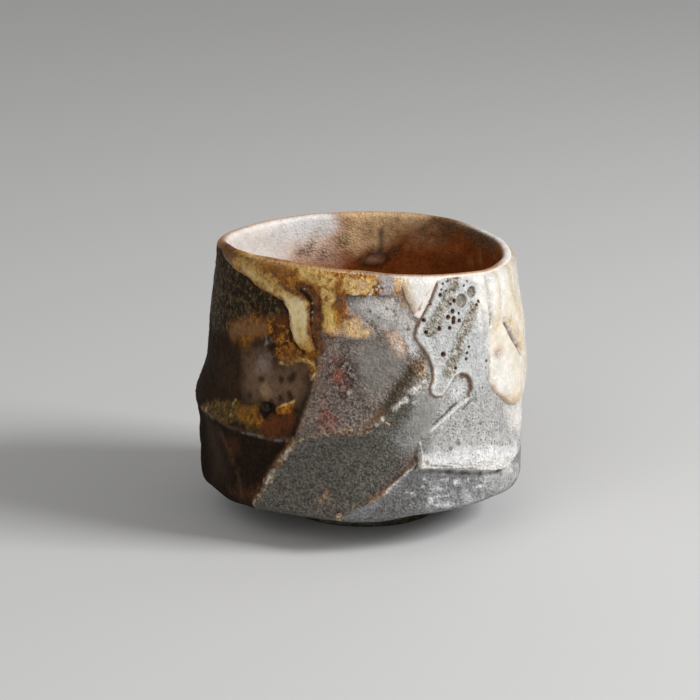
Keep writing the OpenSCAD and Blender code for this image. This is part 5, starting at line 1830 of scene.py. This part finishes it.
@dataclass(frozen=True)
class KilnSkin:
    """Flecks, sand, pits and pale specks of wood-fired clay, at their real size; the pale specks are also
    lightened to stand for painted glints.

    A cloud is given by its scale, detail and roughness, and grains by how many there are to the metre.
    """

    round_fleck: Place = (900.0, 6.0, 0.68)
    tall_fleck: Place = (2600.0, 4.0, 0.6)
    sand: Place = (2000.0, 1.5, 0.6)
    drift: Place = (420.0, 4.0, 0.6)
    tall: Place = (1.0, 1.0, 0.2)
    share_reach: float = 0.36
    fleck_edge: Spot = (0.61, 0.72)
    clouds: Spot = (0.3, 0.7)
    sand_shade: Spot = (-0.4, 0.46)
    drift_shade: Spot = (-0.1, 0.1)
    drift_rough: Spot = (-0.08, 0.08)
    pit_grains: float = 1800.0
    pit_size: Spot = (0.38, 0.17)
    pit_chosen: Spot = (0.5, 0.95)
    pit_shade: float = 0.7
    pit_depth: float = 1.2
    speck_grains: float = 1700.0
    speck_size: Spot = (0.4, 0.25)
    speck_chosen: Spot = (0.87, 0.9)
    speck_share: float = 0.5
    speck_glint_light: float = 2.5
    speck_height: float = 0.6
    glint_from: Spot = (0.5, 0.68)
    glint: Spot = (0, 0.5)

    def build(self) -> bpy.types.NodeTree:
        """Makes the node group.

        Returns:
            A group that gives a speckled colour, an uneven roughness, a height for a bump and glints.
        """
        needed = {"Colour": "Color", "Share": "Float", "Fleck": "Color", "Streak": "Float",
                  "Rough": "Float", "Grit": "Float", "Pits": "Float"}
        made = {"Colour": "Color", "Rough": "Float", "Height": "Float", "Glint": "Float"}
        tree = new_group("kiln_skin", needed, made)
        wire = Wiring(tree)
        given = tree.nodes.new("NodeGroupInput").outputs
        place = wire.add("TexCoord").outputs["Object"]
        tall_place = wire.add("Mapping", {"Vector": place, "Scale": self.tall}).outputs[0]
        round_fleck = wire.noise(place, *self.round_fleck)
        tall_fleck = wire.noise(tall_place, *self.tall_fleck)
        sand = wire.noise(place, *self.sand)
        drift = wire.noise(place, *self.drift)
        which = wire.add("Mix", {"Factor": given["Streak"], "A": round_fleck, "B": tall_fleck}).outputs[0]
        which = wire.sum("ADD", which, wire.sum("MULTIPLY", given["Share"], self.share_reach))
        mixed = wire.mix(wire.between(which, *self.fleck_edge), given["Colour"], given["Fleck"])
        grains = wire.sum("MULTIPLY", wire.between(sand, *self.clouds, *self.sand_shade), given["Grit"])
        shade = wire.sum("ADD", grains, wire.between(drift, *self.clouds, *self.drift_shade))
        sandy = wire.tint(mixed, wire.sum("ADD", shade, 1.0))
        holes = wire.grains(place, self.pit_grains, self.pit_size, self.pit_chosen)
        holes = wire.sum("MULTIPLY", holes, given["Pits"])
        pitted = wire.tint(sandy, wire.sum("SUBTRACT", 1.0, wire.sum("MULTIPLY", holes, self.pit_shade)))
        # Pale specks, partly real specks and partly painted glints on the grains
        pale = wire.grains(place, self.speck_grains, self.speck_size, self.speck_chosen)
        pale = wire.sum("MULTIPLY", pale, wire.sum("MULTIPLY", given["Grit"], self.speck_share))
        lit = wire.mix(pale, pitted, wire.tint(pitted, self.speck_glint_light))
        height = wire.sum("MULTIPLY", sand, given["Grit"])
        height = wire.sum("ADD", height, wire.sum("MULTIPLY", pale, self.speck_height))
        height = wire.sum("SUBTRACT", height, wire.sum("MULTIPLY", holes, self.pit_depth))
        rough = wire.sum("ADD", given["Rough"], wire.between(drift, *self.clouds, *self.drift_rough))
        glint = wire.sum("MULTIPLY", wire.between(sand, *self.glint_from, *self.glint), given["Grit"])
        out = tree.nodes.new("NodeGroupOutput")
        for name, socket in (("Colour", lit), ("Rough", rough), ("Height", height), ("Glint", glint)):
            tree.links.new(socket, out.inputs[name])
        return tree


@dataclass(frozen=True)
class FiredFinish:
    """A fired surface that reads its painted channels and adds flecks, sand and pits to them."""

    name: str
    depth: float = 0.0013
    strength: float = 1.0
    shine: float = 0.08
    coat: float = 0.0
    coat_rough: float = 0.3

    def build(self, skin: bpy.types.NodeTree) -> bpy.types.Material:
        """Makes the material.

        Args:
            skin: The shared kiln skin group.
        Returns:
            The finished material.
        """
        material = bpy.data.materials.new(self.name)
        material.use_nodes = True
        wire = Wiring(material.node_tree)
        fired = wire.add("Attribute", attribute_name="fired").outputs
        fleck = wire.add("Attribute", attribute_name="fleck").outputs
        feel = wire.add("Attribute", attribute_name="skin").outputs
        rough, grit, pits = wire.add("SeparateColor", {"Color": feel["Color"]}).outputs
        given = {"Colour": fired["Color"], "Share": fired["Alpha"], "Fleck": fleck["Color"],
                 "Streak": fleck["Alpha"], "Rough": rough, "Grit": grit, "Pits": pits}
        made = wire.add("Group", given, node_tree=skin).outputs
        grain = {"Strength": self.strength, "Distance": self.depth, "Height": made["Height"]}
        bump = wire.add("Bump", grain)
        surface = wire.add("BsdfPrincipled", {
            "Base Color": made["Colour"], "Roughness": made["Rough"], "Normal": bump.outputs[0],
            "Specular IOR Level": self.shine, "Coat Weight": self.coat or made["Glint"],
            "Coat Roughness": self.coat_rough})
        wire.add("OutputMaterial", {"Surface": surface.outputs[0]})
        return material


@dataclass(frozen=True)
class Studio:
    """The floor, the lamps and the camera."""

    elevation: float = 15.2
    distance: float = 0.62
    target: Place = (0.0, 0.0, 0.02685)
    frame_width: float = 0.1415
    sensor: float = 36.0
    picture: float = 700.0
    target_seen: Spot = (364.3, 378)
    floor_colour: tuple[float, float, float, float] = (0.78, 0.78, 0.78, 1.0)
    key_place: Place = (0.66, -0.21, 0.5)
    key_power: float = 5.4
    key_size: float = 0.32
    fill_place: Place = (-0.35, -0.75, 0.5)
    fill_power: float = 1.5
    fill_size: float = 0.7
    sky: float = 0.27
    sky_colour: tuple[float, float, float, float] = (1.0, 0.99, 0.97, 1.0)
    floor_size: float = 4.0
    floor_place: Place = (0.0, 0.6, 0.0)
    backdrop: float = 2.0
    sweep: float = 1.2
    sweep_steps: int = 24
    paper_rough: float = 0.85
    near_clip: float = 0.01

    def build(self) -> None:
        """Sets everything up round the cup."""
        self.floor()
        self.lamp("key", self.key_place, self.key_power, self.key_size)
        self.lamp("fill", self.fill_place, self.fill_power, self.fill_size)
        world = bpy.data.worlds.new("studio")
        bpy.context.scene.world = world
        world.use_nodes = True
        wire = Wiring(world.node_tree)
        light = wire.add("Background", {"Color": self.sky_colour, "Strength": self.sky})
        wire.add("OutputWorld", {"Surface": light.outputs[0]})
        self.camera()
        bpy.context.scene.view_settings.view_transform = "Standard"

    def select_back(self, obj: bpy.types.Object, back: float) -> None:
        """Selects the floor's edge on the ground at the back."""
        for edge in obj.data.edges:
            ends = [obj.data.vertices[i].co for i in edge.vertices]
            edge.select = all(abs(p.y - back) < NEAR and abs(p.z) < NEAR for p in ends)

    def floor(self) -> None:
        """A pale sheet that sweeps up behind the cup."""
        deselect()
        bpy.ops.mesh.primitive_plane_add(size=self.floor_size, location=self.floor_place)
        obj = bpy.context.active_object
        obj.name = "studio_floor"
        bpy.ops.object.transform_apply(location=True)
        bpy.context.tool_settings.mesh_select_mode = (False, True, False)
        unselect()
        back = max(v.co.y for v in obj.data.vertices)
        self.select_back(obj, back)
        with editing():
            bpy.ops.mesh.extrude_edges_move(TRANSFORM_OT_translate={"value": (0.0, 0.0, self.backdrop)})
        self.select_back(obj, back)
        with editing():
            bpy.ops.mesh.bevel(offset=self.sweep, segments=self.sweep_steps)
        bpy.context.tool_settings.mesh_select_mode = (True, False, False)
        bpy.ops.object.shade_smooth()
        material = bpy.data.materials.new("floor_paper")
        material.use_nodes = True
        wire = Wiring(material.node_tree)
        paper = {"Base Color": self.floor_colour, "Roughness": self.paper_rough}
        surface = wire.add("BsdfPrincipled", paper)
        wire.add("OutputMaterial", {"Surface": surface.outputs[0]})
        obj.data.materials.append(material)

    def lamp(self, name: str, place: Place, power: float, size: float) -> None:
        """A square lamp that looks at the cup."""
        bpy.ops.object.light_add(type="AREA", location=place)
        obj = bpy.context.active_object
        obj.name = name
        obj.data.energy = power
        obj.data.size = size
        obj.rotation_euler = (Vector(self.target) - Vector(place)).to_track_quat("-Z", "Y").to_euler()

    def camera(self) -> None:
        """The viewpoint in front of the cup, a little above it."""
        tilt = math.radians(self.elevation)
        away = Vector((0.0, -math.cos(tilt), math.sin(tilt)))
        bpy.ops.object.camera_add(location=Vector(self.target) + self.distance * away)
        obj = bpy.context.active_object
        obj.rotation_euler = (math.radians(90.0) - tilt, 0.0, 0.0)
        obj.data.sensor_width = self.sensor
        obj.data.lens = self.sensor * self.distance / self.frame_width
        obj.data.shift_x = 0.5 - self.target_seen[0] / self.picture
        obj.data.shift_y = self.target_seen[1] / self.picture - 0.5
        obj.data.clip_start = self.near_clip
        bpy.context.scene.camera = obj


def main() -> None:
    """Builds the pieces in order and reports each one."""
    logging.basicConfig(level=logging.INFO, format="%(message)s")
    form = CupForm()
    relief = Relief(form)
    skin = KilnSkin().build()
    clay = FiredFinish("fired_clay").build(skin)
    grey = FiredFinish("grey_glaze", shine=0.4, coat=0.3, coat_rough=0.25).build(skin)
    cream = FiredFinish("cream_glaze", shine=0.5, coat=0.5, coat_rough=0.12).build(skin)
    amber = FiredFinish("amber_glaze", shine=0.2, coat=0.12, coat_rough=0.1).build(skin)
    bead = FiredFinish("bead_glass", depth=0.0002, shine=0.1, coat=0.22, coat_rough=0.03).build(skin)
    settle(ClayBody(form, relief).build(), "clay_body", clay)
    settle(FootRing(form).build(), "foot_ring", clay)
    settle(LappedSlab(form, relief).build(), "lapped_slab", clay)
    settle(BubbledGlaze(form, relief).build(), "bubbled_glaze", grey)
    settle(CreamGlaze(form, relief).build(), "cream_glaze", cream)
    settle(AshGlaze(form, relief).build(), "ash_glaze", amber)
    drop = WallDrops(form, relief, "olive_glass_bead", Fired.BEAD, BEADS)
    settle(drop.build(), "glass_bead", bead)
    grains = WallDrops(form, relief, "feldspar_pebbles", Fired.BURR, PEBBLES, uneven=0.4)
    settle(grains.build(), "feldspar_grains", clay)
    Studio().build()


if __name__ == "__main__":
    main()
